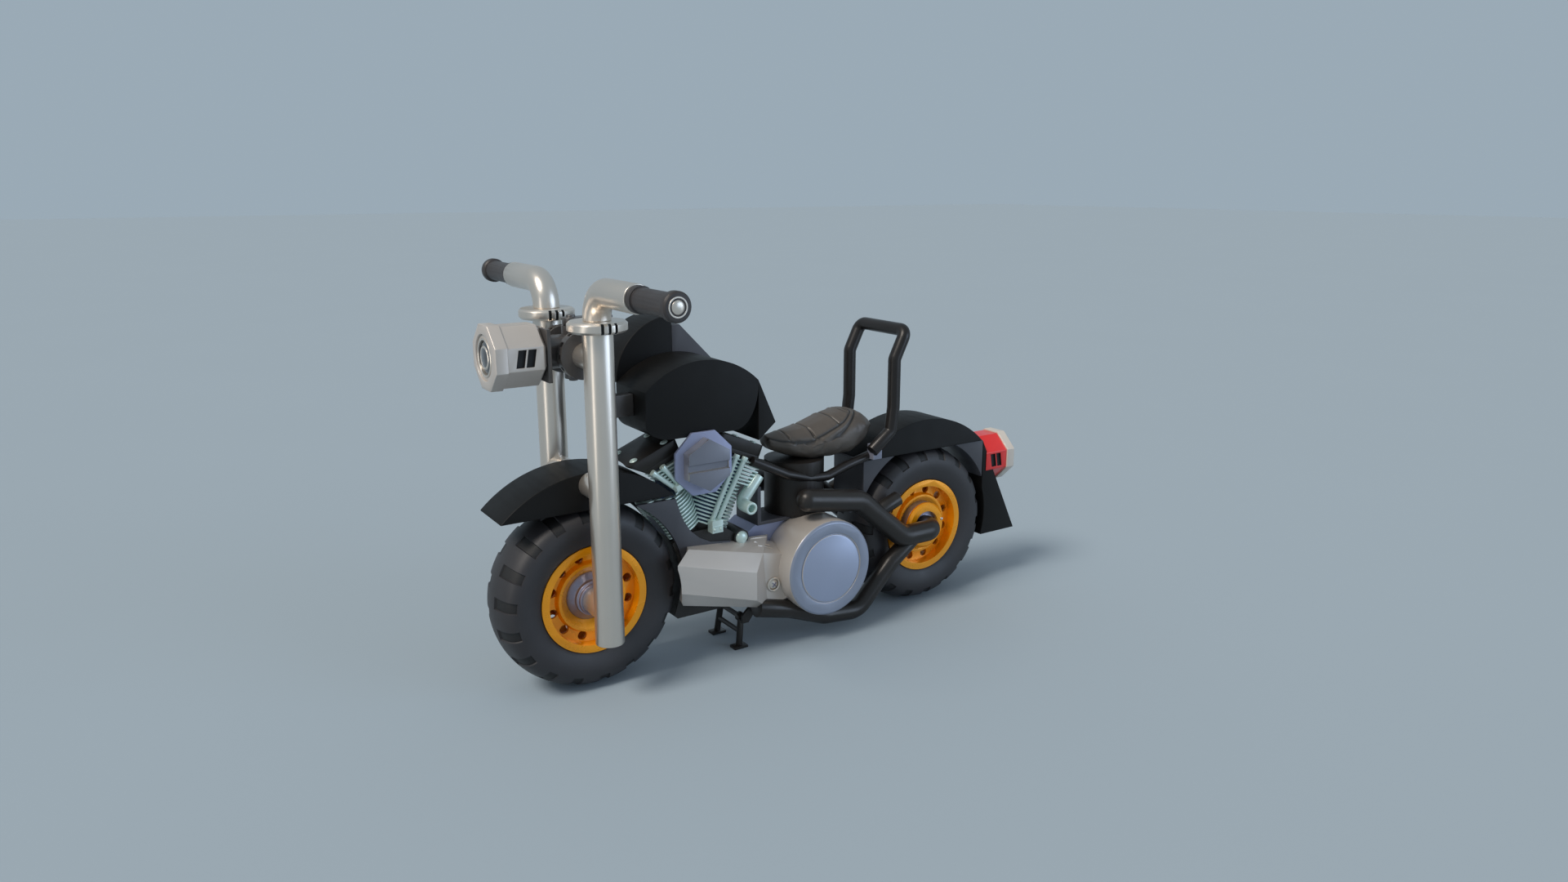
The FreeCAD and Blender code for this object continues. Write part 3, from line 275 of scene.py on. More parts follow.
def finish_of(slot):
    """The finish for a material slot of the record"""
    c = colours()
    makers = {
        "tyre_rubber": lambda: finish("Tyre rubber", c.tyre, 0.0, 0.50, mottle=(7.0, 0.12),
                                      grain=(420.0, 0.0003)),
        "rim_paint": lambda: finish("Rim enamel", c.rim, 0.3, 0.28, coat=0.3, mottle=(6.0, 0.06),
                                    grain=(200.0, 0.00002)),
        "hub_steel": lambda: finish("Hub steel", c.steel, 0.75, 0.32, mottle=(14.0, 0.06)),
        "chrome": lambda: finish("Bright metal", c.bright, 0.85, 0.31, mottle=(3.0, 0.03),
                                 grain=SMOOTH_GRAIN, rough_spread=0.02),
        "grip_rubber": lambda: finish("Grip rubber", c.grip, 0.1, 0.46, grain=(380.0, 0.0003)),
        "black_paint": lambda: finish("Black paint", c.black, 0.0, 0.52, mottle=(4.0, 0.06), shine=0.22),
        "frame_grey": lambda: finish("Frame grey", c.grey, 0.1, 0.5, mottle=(6.0, 0.08)),
        "fin_alloy": lambda: finish("Fin alloy", c.fins, 0.35, 0.34, mottle=(12.0, 0.05),
                                    grain=(330.0, 0.0001)),
        "engine_black": lambda: finish("Cover black", c.cover, 0.1, 0.45, shine=0.4),
        "cleaner_paint": lambda: finish("Cleaner plate", c.cleaner, 0.2, 0.42),
        "pipe_black": lambda: finish("Pipe black", c.pipe, 0.3, 0.34, mottle=(8.0, 0.1),
                                     grain=(200.0, 0.00003)),
        "bar_black": lambda: finish("Bar black", c.bar, 0.30, 0.34, mottle=(8.0, 0.1),
                                    grain=(200.0, 0.00003)),
        "seat_leather": lambda: leather("Seat hide", c.hide),
        "lamp_glass": lambda: lamp_glass("Lamp glass", c.lens, 0.08),
        "tail_red": lambda: finish("Lamp red", c.red, 0.0, 0.34, coat=0.3, mottle=(10.0, 0.04)),
        "tail_bezel": lambda: finish("Lamp bezel", c.cream, 0.1, 0.36, coat=0.2, mottle=(10.0, 0.03)),
    }
    return makers[slot]()


def dark_casting():
    return finish("Dark casting", colours().dark, 0.15, 0.5, mottle=(10.0, 0.1), grain=(300.0, 0.0003))


def slot_shade():
    return finish("Slot black", colours().slot, 0.0, 0.6)


def slate():
    return finish("Cleaner cover", colours().slate, 0.2, 0.40)


def bright_casting():
    return finish("Bright casting", colours().casting, 0.35, 0.36, mottle=(3.0, 0.03), grain=SMOOTH_GRAIN)


def ring_face():
    return finish("Drum face", colours().ring_face, 0.5, 0.36, mottle=(3.0, 0.04), grain=SMOOTH_GRAIN)


def drum_disc():
    return finish("Drum disc", colours().disc, 0.6, 0.34, mottle=(3.0, 0.04), grain=SMOOTH_GRAIN)


# painted shade between the fins
def fin_gap_shade():
    return finish("Fin gap", colours().gap_shade, 0.2, 0.5)


def steering_grey():
    return finish("Steering grey", colours().ring, 0.55, 0.34, grain=(200.0, 0.00003))


def mount_grey():
    return finish("Mount grey", colours().mount, 0.3, 0.42)


# Meshes
DOME_CURVE = ((0.0, 1.0), (0.45, 0.9), (0.8, 0.55), (0.97, 0.2))
DOME_SUNK = 0.002


def merged_copy(node):
    """A CAD node's mesh with its doubled corners merged and its flat faces joined"""
    bm = bmesh.new()
    bm.from_mesh(frame["nodes"][node].data)
    bmesh.ops.remove_doubles(bm, verts=bm.verts, dist=MERGE)
    bmesh.ops.dissolve_limit(bm, angle_limit=FLAT, verts=bm.verts, edges=bm.edges)
    return bm


def add_piece(bm, name, body, slot, stands_for=(), rounding=0.0, segments=3, material=None,
              outward=True):
    """Makes an object of a finished bmesh, hangs it on the body it rides on, and hides the nodes it stands
    for
    """
    if outward:
        bmesh.ops.recalc_face_normals(bm, faces=bm.faces)
    mesh = bpy.data.meshes.new(name)
    bm.to_mesh(mesh)
    bm.free()
    mesh.materials.append(material or finish_of(slot))
    mesh.shade_smooth()
    piece = bpy.data.objects.new(name, mesh)
    bpy.context.scene.collection.objects.link(piece)
    if rounding > 0:
        edge = piece.modifiers.new("Rounding", "BEVEL")
        edge.width = rounding
        edge.segments = segments
        edge.limit_method = "ANGLE"
        edge.angle_limit = SHARP
        edge.harden_normals = True
    else:
        mesh.set_sharp_from_angle(angle=SHARP)
    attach(piece, body)
    if stands_for:
        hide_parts(*stands_for)
    return piece


def dress(node, rounding=None, segments=3, slot=None, material=None, bm=None):
    """Stands a CAD node's own shape with rounded edges in its place"""
    width = sizes().rounding if rounding is None else rounding
    return add_piece(bm or merged_copy(node), node + "_finish", BODY_OF[node], slot or SLOT_OF[node],
                     [node], width, segments, material, outward=False)


def paint_faces(piece, material, chosen):
    """Gives a further finish to the faces that the test chooses"""
    mesh = piece.data
    mesh.materials.append(material)
    for face in mesh.polygons:
        if chosen(face):
            face.material_index = len(mesh.materials) - 1


def paint(piece, material, chosen):
    """Gives a further finish to the faces that the test chooses by centre and normal"""
    paint_faces(piece, material, lambda face: chosen(face.center, face.normal))


def paint_within(piece, material, centre, radius):
    """Gives a further finish to the faces that look along +Y and lie wholly within a radius"""
    def inside(face):
        points = [piece.data.vertices[i].co - centre for i in face.vertices]
        return face.normal.y > 0.5 and max(math.hypot(p.x, p.z) for p in points) < radius
    paint_faces(piece, material, inside)


def slice_at(bm, point, normal):
    """Cuts every face that a plane crosses, and removes nothing"""
    geom = list(bm.verts) + list(bm.edges) + list(bm.faces)
    bmesh.ops.bisect_plane(bm, geom=geom, plane_co=point, plane_no=normal)


def revolve(bm, profile, centre, axis, steps, start=None):
    """Turns a profile of (radius, along) points about an axis through a full circle"""
    side = Vector(start) if start else axis.orthogonal().normalized()
    verts = [bm.verts.new(centre + side * r + axis * a) for r, a in profile]
    edges = [bm.edges.new(pair) for pair in zip(verts, verts[1:])]
    bmesh.ops.spin(bm, geom=verts + edges, cent=centre, axis=axis, angle=math.tau, steps=steps,
                   use_merge=True)
    bmesh.ops.remove_doubles(bm, verts=bm.verts, dist=MERGE)


def dome(bm, seat, axis, radius, height, steps=20):
    """A round bolt head that stands on a face, sunk a little into it"""
    crown = [(radius * out, height * up) for out, up in DOME_CURVE]
    revolve(bm, crown + [(radius, 0.0), (radius, -DOME_SUNK), (0.0, -DOME_SUNK)], seat, axis, steps)


def hoop(bm, centre, axis, inner, outer, low, high, steps=48):
    """A flat ring with softened edges between two radii"""
    soft = min(outer - inner, high - low) * 0.25
    profile = [(inner, low), (outer, low), (outer, high - soft), (outer - soft, high),
               (inner + soft, high), (inner, high - soft), (inner, low)]
    revolve(bm, profile, centre, axis, steps)


def bar_between(bm, a, b, width, height, up):
    """A slim bar with bevelled edges from one point to another"""
    along = (b - a).normalized()
    side = up.cross(along).normalized()
    turn = Matrix((along, side, along.cross(side))).transposed().to_4x4()
    size = Matrix.Diagonal(((b - a).length, width, height, 1.0))
    made = bmesh.ops.create_cube(bm, size=1.0, matrix=Matrix.Translation((a + b) / 2) @ turn @ size)
    edges = list({e for v in made["verts"] for e in v.link_edges})
    bmesh.ops.bevel(bm, geom=edges, offset=min(width, height) * 0.3, segments=2, profile=0.5, affect="EDGES",
                    material=-1)


# Tyres: a moulded carcass with pockets across both shoulders
TYRE_PROFILE = [(0.199, 0.100), (0.206, 0.108), (0.228, 0.1165), (0.256, 0.1222), (0.280, 0.1215),
                (0.300, 0.1155), (0.316, 0.1035), (0.328, 0.084), (0.3368, 0.056), (0.3425, 0.026),
                (0.344, 0.0)]
POCKET_BAND = (0.292, 0.3425)
POCKET_IN_Y = 0.026
POCKET_LIP = 0.0012
POCKET_WALL = 0.0025
STEPS_PER_POCKET = 10
POCKET_STEPS = 4


def smooth_path(points, steps):
    """A curve through the points, as many times finer"""
    path = []
    for i in range(len(points) - 1):
        before = points[max(i - 1, 0)]
        after = points[min(i + 2, len(points) - 1)]
        handle_a = points[i] + (points[i + 1] - before) / 6
        handle_b = points[i + 1] - (after - points[i]) / 6
        path += interpolate_bezier(points[i], handle_a, handle_b, points[i + 1], steps + 1)[:-1]
    return path + [points[-1]]


def make_tyre(node):
    """Carcass turned about the axle, with groups of its shoulder faces pressed in and their floors darkened
    as painted shade
    """
    low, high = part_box(node)
    centre = (low + high) / 2
    pockets = sizes().tread_pockets
    steps = pockets * STEPS_PER_POCKET
    corners = TYRE_PROFILE + [(r, -y) for r, y in reversed(TYRE_PROFILE[:-1])]
    profile = [(p.x, p.y) for p in smooth_path([Vector((r, y, 0)) for r, y in corners], 2)]
    bm = bmesh.new()
    revolve(bm, profile, centre, ACROSS, steps, (0, 0, 1))
    bm.normal_update()
    groups = {}
    for face in bm.faces:
        middle = face.calc_center_median() - centre
        r = math.hypot(middle.x, middle.z)
        if not POCKET_BAND[0] < r < POCKET_BAND[1] or abs(middle.y) < POCKET_IN_Y:
            continue
        turn = (math.atan2(middle.x, middle.z) / math.tau) % 1.0
        left = middle.y > 0
        step = int(turn * steps + (0 if left else STEPS_PER_POCKET / 2)) % steps
        if step % STEPS_PER_POCKET < POCKET_STEPS:
            groups.setdefault((left, step // STEPS_PER_POCKET), []).append(face)
    depth = sizes().pocket_depth
    for faces in groups.values():
        bmesh.ops.inset_region(bm, faces=faces, thickness=POCKET_LIP, use_even_offset=True)
        bmesh.ops.inset_region(bm, faces=faces, thickness=POCKET_WALL, depth=-depth, use_even_offset=True)
        # painted shade: the pocket floors take the second, darker rubber
        for face in faces:
            face.material_index = 1
    tyre = add_piece(bm, node + "_moulded", BODY_OF[node], SLOT_OF[node], [node])
    tyre.data.materials.append(finish("Tyre pockets", colours().pocket_shade, 0.0, 0.6, mottle=(7.0, 0.1)))


class CRUISER_OT_tyres(bpy.types.Operator):
    """Moulded tyres with pockets across both shoulders"""
    bl_idname = "cruiser.tyres"
    bl_label = "Tyres"

    def execute(self, context):
        make_tyre("front_tyre")
        make_tyre("rear_tyre")
        return {"FINISHED"}


# Wheels
RING_BOLT = (0.086, 0.122, 0.017)
RING_BOLT_R = 0.007
RING_BOLT_RISE = 0.005


class CRUISER_OT_wheels(bpy.types.Operator):
    """Yellow wheels with drilled webs, their hubs and axles"""
    bl_idname = "cruiser.wheels"
    bl_label = "Wheels"

    def execute(self, context):
        for node in ("front_rim", "rear_rim", "front_hub", "rear_hub", "rear_axle"):
            dress(node)
        dress("front_axle", slot="chrome")
        bm = bmesh.new()
        for side in (1, -1):
            spot = Vector((REAR_X - RING_BOLT[0], side * RING_BOLT[1], HUB_Z + RING_BOLT[2]))
            dome(bm, spot, ACROSS * side, RING_BOLT_R, RING_BOLT_RISE)
        add_piece(bm, "rear_ring_bolts", "rear_wheel", "chrome")
        return {"FINISHED"}


# Fork, bars and steering
GRIP_END = 0.782
GRIP_DOME = (0.021, 0.006)
GRIP_HOOP = (0.026, 0.031, -0.002, 0.002)
CLAMP_Y = 0.22
CLAMP_NOTCH_R = 0.0975
CLAMP_NOTCH_IN = 0.05


class CRUISER_OT_fork(bpy.types.Operator):
    """Fork tubes with their clamps, bars, grips and the notched steering rings"""
    bl_idname = "cruiser.fork"
    bl_label = "Fork and bars"

    def execute(self, context):
        for node in ("fork_tubes", "fork_clamps", "handlebars", "crown_stubs", "fender_stubs"):
            dress(node)
        clamps = bpy.data.objects["fork_clamps_finish"]
        # painted shade: the walls of the clamp notches are near black
        paint(clamps, slot_shade(), lambda c, n: abs(n.z) < 0.3 and self.in_notch(c))
        dress("grips", slot="grip_rubber")
        dress("steering_crown", material=steering_grey())
        dress("steering_neck", material=steering_grey())
        low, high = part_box("grips")
        bar_z = (low.z + high.z) / 2
        bm = bmesh.new()
        for side in (1, -1):
            end = Vector((FRONT_X, side * GRIP_END, bar_z))
            dome(bm, end, ACROSS * side, *GRIP_DOME, 32)
            hoop(bm, end, ACROSS * side, *GRIP_HOOP)
        add_piece(bm, "grip_caps", "fork", "chrome")
        return {"FINISHED"}

    @staticmethod
    def in_notch(centre):
        across = abs(centre.y) - CLAMP_Y
        return math.hypot(centre.x - FRONT_X, across) < CLAMP_NOTCH_R and abs(across) > CLAMP_NOTCH_IN


# Lamps
LAMP_Z = 1.226
LENS_FACE = 0.306
INNER_HOOP = (0.030, 0.040, -0.012, 0.003)
OUTER_HOOP = (0.058, 0.066, -0.004, 0.004)
LAMP_SLOT_IN = 0.095
LAMP_SLOT_OUT = 0.1062
LAMP_FLANK = 0.1055
LAMP_SLOT_HALF = 0.034
HEAD_SLOT_X = (0.165, 0.245)


def in_lamp_slot(centre, normal, lamp_z):
    """Whether a face is inside one of the slots in a lamp's flanks"""
    if not (LAMP_SLOT_IN < abs(centre.y) < LAMP_SLOT_OUT and abs(centre.z - lamp_z) < LAMP_SLOT_HALF):
        return False
    return not (abs(normal.y) > 0.9 and abs(centre.y) > LAMP_FLANK)


class CRUISER_OT_lamps(bpy.types.Operator):
    """Headlamp with a recessed lens, and the red tail lamp"""
    bl_idname = "cruiser.lamps"
    bl_label = "Lamps"

    def execute(self, context):
        shell = dress("headlamp_shell", material=bright_casting())
        # painted shade: the walls inside the flank slots are near black
        paint(shell, slot_shade(), lambda c, n: HEAD_SLOT_X[0] < c.x - FRONT_X < HEAD_SLOT_X[1]
              and in_lamp_slot(c, n, LAMP_Z))
        dress("headlamp_ring", material=bright_casting())
        dress("headlamp_lens", 0.0)
        dress("headlamp_bracket", material=steering_grey())
        ahead = Vector((1, 0, 0))
        bm = bmesh.new()
        for ring in (INNER_HOOP, OUTER_HOOP):
            hoop(bm, place(LENS_FACE, 0, LAMP_Z), ahead, *ring)
        add_piece(bm, "headlamp_hoops", "fork", "chrome")
        dress("tail_lamp_bezel")
        body = dress("tail_lamp_body")
        low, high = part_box("tail_lamp_body")
        mid_z = (low.z + high.z) / 2
        # painted shade: the walls inside the flank slots are near black
        paint(body, slot_shade(), lambda c, n: in_lamp_slot(c, n, mid_z))
        dress("tail_lamp_lens")
        return {"FINISHED"}


class CRUISER_OT_bodywork(bpy.types.Operator):
    """Tank, pod, mudguards and the grey panels"""
    bl_idname = "cruiser.bodywork"
    bl_label = "Bodywork"

    def execute(self, context):
        for node in ("tank", "side_cowl", "front_fender", "rear_fender", "cowl_slope", "front_arch",
                     "rear_arch"):
            dress(node)
        dress("rear_flap", slot="black_paint")
        return {"FINISHED"}


# Engine: places on a cylinder are along, across and up its bank from the crank centre
CRANK = (-0.437, 0.386)
BANK_TURN = math.radians(22.5)
BARREL_START = 0.149
WALL_R = 0.084
HEAD_TOP = 0.496
COVER_SEAM = 0.452
SEAM_HALF = 0.0012
SEAM_IN = 0.0015
BOLT_RISE = 0.006
CLEANER_BAND = (0.767, 0.797)
CLEANER_FACE = 0.012
CLEANER_FLANK = 0.008
CLEANER_GROOVE = (0.002, 0.006)
CLEANER_ROUNDING = 0.0015
COVER_ROUNDING = 0.002
STARTER_CAP = (-0.607, 0.112, 0.463)
STARTER_DOME = (0.026, 0.014)
LIFTER_BLOCK = (0.013, 0.136, 0.168)
STUD_DOME = (0.0065, 0.006)
STUD_ALONG = 0.014
STUD_DROP = 0.022
STRAP_ALONG = 0.023
STRAP_SIZE = (0.004, 0.003)
BOLT_PLACES = ((0.067, 0.066), (-0.067, 0.066), (0.067, -0.066), (-0.067, -0.066))


def bank_axes(sign):
    turn = sign * BANK_TURN
    return Vector((math.cos(turn), 0, -math.sin(turn))), Vector((math.sin(turn), 0, math.cos(turn)))


def bank_point(sign, along, across, up):
    side, rise = bank_axes(sign)
    return place(CRANK[0], across, CRANK[1]) + side * along + rise * up


def bank_height(sign, point):
    return (point - place(CRANK[0], 0, CRANK[1])).dot(bank_axes(sign)[1])


def make_cover(node, sign, bolts):
    """Head cover with a seam line round it and bolts on its top"""
    rise = bank_axes(sign)[1]
    seam = bank_point(sign, 0, 0, COVER_SEAM)
    bm = merged_copy(node)
    for offset in (-SEAM_HALF, SEAM_HALF):
        slice_at(bm, seam + rise * offset, rise)
    bm.normal_update()
    band = [f for f in bm.faces if abs((f.calc_center_median() - seam).dot(rise)) < SEAM_HALF * 0.9
            and abs(f.normal.dot(rise)) < 0.5]
    bmesh.ops.inset_region(bm, faces=band, thickness=0.0002, depth=-SEAM_IN)
    dress(node, COVER_ROUNDING, 2, bm=bm)
    heads = bmesh.new()
    for along, across in bolts:
        dome(heads, bank_point(sign, along, across, HEAD_TOP), rise, sizes().cover_bolt, BOLT_RISE)
    add_piece(heads, node + "_bolts", "frame", "fin_alloy")


class CRUISER_OT_engine(bpy.types.Operator):
    """V-twin with its fins, covers, pushrods, ports and air cleaner"""
    bl_idname = "cruiser.engine"
    bl_label = "Engine"

    def execute(self, context):
        fine = sizes().fine_rounding
        for node, sign in (("cylinder_front", 1), ("cylinder_rear", -1)):
            piece = dress(node, fine, 2)
            side, rise = bank_axes(sign)
            paint(piece, dark_casting(), lambda c, n: bank_height(sign, c) < BARREL_START)
            # painted shade: the walls between the fins take the dark blue gap colour
            paint(piece, fin_gap_shade(), lambda c, n: bank_height(sign, c) > BARREL_START
                  and abs(n.dot(rise)) < 0.3
                  and math.hypot((c - place(CRANK[0], 0, CRANK[1])).dot(side), c.y) < WALL_R)
        make_cover("head_cover_front", 1, BOLT_PLACES)
        make_cover("head_cover_rear", -1, BOLT_PLACES[1:])
        dress("pushrod_tubes", fine, slot="fin_alloy")
        for node in ("lifter_blocks", "rear_exhaust_port", "front_exhaust_port", "intake_tube"):
            dress(node, slot="fin_alloy")
        dress("crankcase", material=dark_casting())
        dress("gearbox", slot="cleaner_paint")
        dress("air_cleaner_back")
        self.cleaner_cover()
        self.small_fittings()
        return {"FINISHED"}

    def cleaner_cover(self):
        """Six-sided cover with one band pressed in across its face, the band's lower step given a painted
        highlight
        """
        bm = merged_copy("air_cleaner_cover")
        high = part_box("air_cleaner_cover")[1]
        for height in CLEANER_BAND:
            slice_at(bm, Vector((0, 0, height)), Vector((0, 0, 1)))
        bm.normal_update()
        band = [f for f in bm.faces if f.normal.y > 0.9 and f.calc_center_median().y > high.y - CLEANER_FACE
                and CLEANER_BAND[0] < f.calc_center_median().z < CLEANER_BAND[1]]
        bmesh.ops.inset_region(bm, faces=band, thickness=CLEANER_GROOVE[0], depth=-CLEANER_GROOVE[1])
        cover = dress("air_cleaner_cover", CLEANER_ROUNDING, 2, material=slate(), bm=bm)
        # the flanks are bright metal trim; the up-facing step at the band's lower edge also gets bright
        # metal, a painted highlight
        paint(cover, finish_of("chrome"), lambda c, n: abs(n.y) < 0.3 and c.y < high.y - CLEANER_FLANK
              or n.z > 0.4 and abs(c.z - CLEANER_BAND[0]) < 0.002)

    def small_fittings(self):
        """Starter cap, and the studs of the rear lifter block"""
        bm = bmesh.new()
        dome(bm, place(*STARTER_CAP), ACROSS, *STARTER_DOME, 32)
        block = bank_point(-1, *LIFTER_BLOCK)
        for side in (-1, 1):
            dome(bm, block + Vector((side * STUD_ALONG, 0, -STUD_DROP)), ACROSS, *STUD_DOME)
        ends = [block + Vector((side * STRAP_ALONG, -0.001, -0.010)) for side in (-1, 1)]
        bar_between(bm, *ends, *STRAP_SIZE, Vector((0, 0, 1)))
        add_piece(bm, "engine_caps", "frame", "fin_alloy")


# Drive side
DRUM = (-0.934, 0.312)
DRUM_DISC_R = 0.139
DRUM_GROOVE = 0.84
DRUM_GROOVE_R = 0.176
DRUM_GROOVE_Y = 0.241
DRUM_FACE_Y = 0.24
PRIMARY_CAP = (-0.714, 0.168, 0.268)
CAP_HOOP = (0.021, 0.029, -0.002, 0.009)
CAP_DOME = (0.0215, 0.010)
CROSS_SIZE = (0.005, 0.002)
CROSS_ARM = 0.012
CROSS_RISE = 0.0098
RIDGES = (((-0.650, 0.103), (-0.725, 0.103)), ((-0.656, 0.120), (-0.728, 0.120)),
          ((-0.662, 0.138), (-0.731, 0.138)))
RIDGE_FROM_Z = 0.7
RIDGE_LIFT = 0.001
RIDGE_SIZE = (0.005, 0.004)


class CRUISER_OT_drive(bpy.types.Operator):
    """Primary case with its ridges and cap, and the clutch drum"""
    bl_idname = "cruiser.drive"
    bl_label = "Drive side"

    def execute(self, context):
        dress("primary_case", material=bright_casting())
        centre = place(DRUM[0], 0, DRUM[1])
        bm = merged_copy("clutch_drum")
        for vert in bm.verts:
            away = Vector((vert.co.x - centre.x, 0, vert.co.z - centre.z))
            if vert.co.y > DRUM_GROOVE_Y and away.length < DRUM_GROOVE_R:
                vert.co -= away * (1 - DRUM_GROOVE)
        drum = dress("clutch_drum", material=bright_casting(), bm=bm)
        paint(drum, ring_face(), lambda c, n: c.y > DRUM_FACE_Y and n.y > 0.5)
        paint_within(drum, drum_disc(), centre, DRUM_DISC_R)
        bm = bmesh.new()
        cap = place(*PRIMARY_CAP)
        hoop(bm, cap, ACROSS, *CAP_HOOP)
        dome(bm, cap, ACROSS, *CAP_DOME, 32)
        add_piece(bm, "primary_cap", "frame", "chrome")
        cross = bmesh.new()
        for lean in (math.radians(45), math.radians(-45)):
            arm = Vector((math.cos(lean), 0, math.sin(lean))) * CROSS_ARM
            middle = cap + ACROSS * CROSS_RISE
            bar_between(cross, middle - arm, middle + arm, *CROSS_SIZE, ACROSS)
        add_piece(cross, "primary_cap_cross", "frame", "hub_steel")
        self.ridges()
        return {"FINISHED"}

    def ridges(self):
        """Three slim ribs on the rear of the primary case's top, laid on its surface"""
        case = bmesh.new()
        case.from_mesh(frame["nodes"]["primary_case"].data)
        surface = BVHTree.FromBMesh(case)
        case.free()
        bm = bmesh.new()
        for a, b in RIDGES:
            ends = []
            for point in (a, b):
                hit = surface.ray_cast(place(*point, RIDGE_FROM_Z), Vector((0, 0, -1)))[0]
                if hit is None:
                    raise RuntimeError("A primary rib has no surface under it")
                ends.append(hit + Vector((0, 0, RIDGE_LIFT)))
            bar_between(bm, *ends, *RIDGE_SIZE, Vector((0, 0, 1)))
        add_piece(bm, "primary_ribs", "frame", "chrome")


# Frame
STAND_ROUNDING = 0.002
TIP_ROOT = (-1.3063, 0.174, 0.509)
TIP_ALONG = Vector((-0.937, 0, 0.349))
TIP_BORE_R = 0.0225


class CRUISER_OT_frame(bpy.types.Operator):
    """Side tubes, tips, tray, oil tank, rails, backrest loop and stand"""
    bl_idname = "cruiser.frame"
    bl_label = "Frame and tubes"

    def execute(self, context):
        dress("sissy_bar_mounts", material=mount_grey())
        for node in ("upper_side_tubes", "lower_side_tubes", "exhaust_tips", "sissy_bar", "seat_rails",
                     "cross_members", "stand_bracket", "centre_stand", "battery_tray"):
            dress(node, STAND_ROUNDING if node in ("stand_bracket", "centre_stand") else None)
        dress("oil_tank", slot="engine_black")
        tips = bpy.data.objects["exhaust_tips_finish"]
        # painted shade: the bores of the tips are near black
        paint(tips, slot_shade(), lambda c, n: self.in_bore(c))
        return {"FINISHED"}

    @staticmethod
    def in_bore(centre):
        away = Vector((centre.x, abs(centre.y), centre.z)) - place(*TIP_ROOT)
        return (away - TIP_ALONG * away.dot(TIP_ALONG)).length < TIP_BORE_R


# Seat: a pad blown up as cloth, then seamed and stitched
SEAM_PLAN = ((-0.776, 0.030), (-0.798, 0.046), (-0.840, 0.067), (-0.891, 0.083), (-0.939, 0.093),
             (-0.988, 0.100), (-1.038, 0.103), (-1.082, 0.102), (-1.120, 0.094), (-1.156, 0.074),
             (-1.180, 0.042), (-1.190, 0.0))
PLEATS = (-0.857, -0.954, -1.066, -1.140)
PLEAT_BOW = 2.2
PLEAT_GAP = 0.007
PLEAT_FADE = 0.012
SHRINK = 0.975
SWELL_CAP = 0.008
VOXEL = 0.0042
SOFTEN_BEFORE = 10
SOFTEN_AFTER = 4
PRESSURE = 4.0
CLOTH_FRAMES = 20
TOP_FACING = 0.12
SEAM_REACH = 0.02
STITCH_LINE = 0.0090
MARK_WIDTH = 0.0035
STITCH_FROM_Z = 1.5
THREAD = (0.0026, 0.0008, 0.0007)


def seam_path():
    """The seam in plan, from the nose round the rear and back"""
    near = [place(x, y, 0) for x, y in SEAM_PLAN]
    far = [Vector((p.x, -p.y, 0)) for p in reversed(near[:-1])]
    return smooth_path(near + far, 8)


def evaluated(piece):
    """The mesh that a piece's modifiers make at this frame"""
    return bpy.data.meshes.new_from_object(piece.evaluated_get(bpy.context.evaluated_depsgraph_get()))


def settle(piece):
    """Applies every modifier of a piece"""
    mesh = evaluated(piece)
    piece.modifiers.clear()
    piece.data = mesh


def soften(piece, rounds):
    """Evens out the steps that a remesh leaves"""
    bm = bmesh.new()
    bm.from_mesh(piece.data)
    for _ in range(rounds):
        bmesh.ops.smooth_vert(bm, verts=bm.verts, factor=0.5, use_axis_x=True, use_axis_y=True,
                              use_axis_z=True)
    bm.to_mesh(piece.data)
    bm.free()


def blow_up(piece, scene):
    """Cloth with pressure, its swelling capped"""
    rest = [v.co.copy() for v in piece.data.vertices]
    cloth = piece.modifiers.new("Cloth", "CLOTH")
    cloth.settings.use_pressure = True
    cloth.settings.uniform_pressure_force = PRESSURE
    cloth.settings.effector_weights.gravity = 0.0
    for step in range(1, CLOTH_FRAMES + 1):
        scene.frame_set(step)
    settle(piece)
    scene.frame_set(1)
    for vert, start in zip(piece.data.vertices, rest):
        moved = vert.co - start
        if moved.length > SWELL_CAP:
            vert.co = start + moved.normalized() * SWELL_CAP


def bell(away, width):
    """A smooth bump that is 1 at its middle"""
    return math.exp(-(away / width) ** 2)


def seam_depth(away):
    """Welt between two stitched lines, as height against distance from the seam"""
    return 0.0022 * bell(away, 0.0046) - 0.0036 * bell(away - STITCH_LINE, 0.0038)


def pleat_depth(away):
    """A pressed line with a soft roll in front of it"""
    return 0.0016 * bell(away - 0.012, 0.008) - 0.0046 * bell(away, 0.0040)


def press_seams(mesh, path):
    """Presses the seam and the pleats into the top of the pad, and marks where they get painted shade"""
    tree = KDTree(len(path))
    for i, point in enumerate(path):
        tree.insert(point, i)
    tree.balance()
    normals = [v.normal.copy() for v in mesh.vertices]
    marks = [0.0] * len(normals)
    for vert, normal in zip(mesh.vertices, normals):
        if normal.z < TOP_FACING:
            continue
        plan = Vector((vert.co.x, vert.co.y, 0))
        point, i, _ = tree.find(plan)
        before = path[max(i - 1, 0)]
        after = path[min(i + 1, len(path) - 1)]
        run = (after - before).normalized()
        away = abs((plan - point).cross(run).z)
        height = 0.0
        if (plan - point).length < SEAM_REACH:
            height = seam_depth(away)
            # painted shade along the groove of the stitch line
            marks[vert.index] = bell(away - STITCH_LINE, MARK_WIDTH)
        fade = min(1.0, ((plan - point).length - PLEAT_GAP) / PLEAT_FADE)
        if fade > 0 and run.cross(plan - point).z > 0:
            for pleat in PLEATS:
                away = plan.x - (FRONT_X + pleat - PLEAT_BOW * plan.y * plan.y)
                height += pleat_depth(away) * fade
                # painted shade along each pleat line
                marks[vert.index] = max(marks[vert.index], bell(away, MARK_WIDTH) * fade)
        vert.co += normal * height
    mesh.attributes.new(SEAM_SHADE_MARK, "FLOAT", "POINT").data.foreach_set("value", marks)


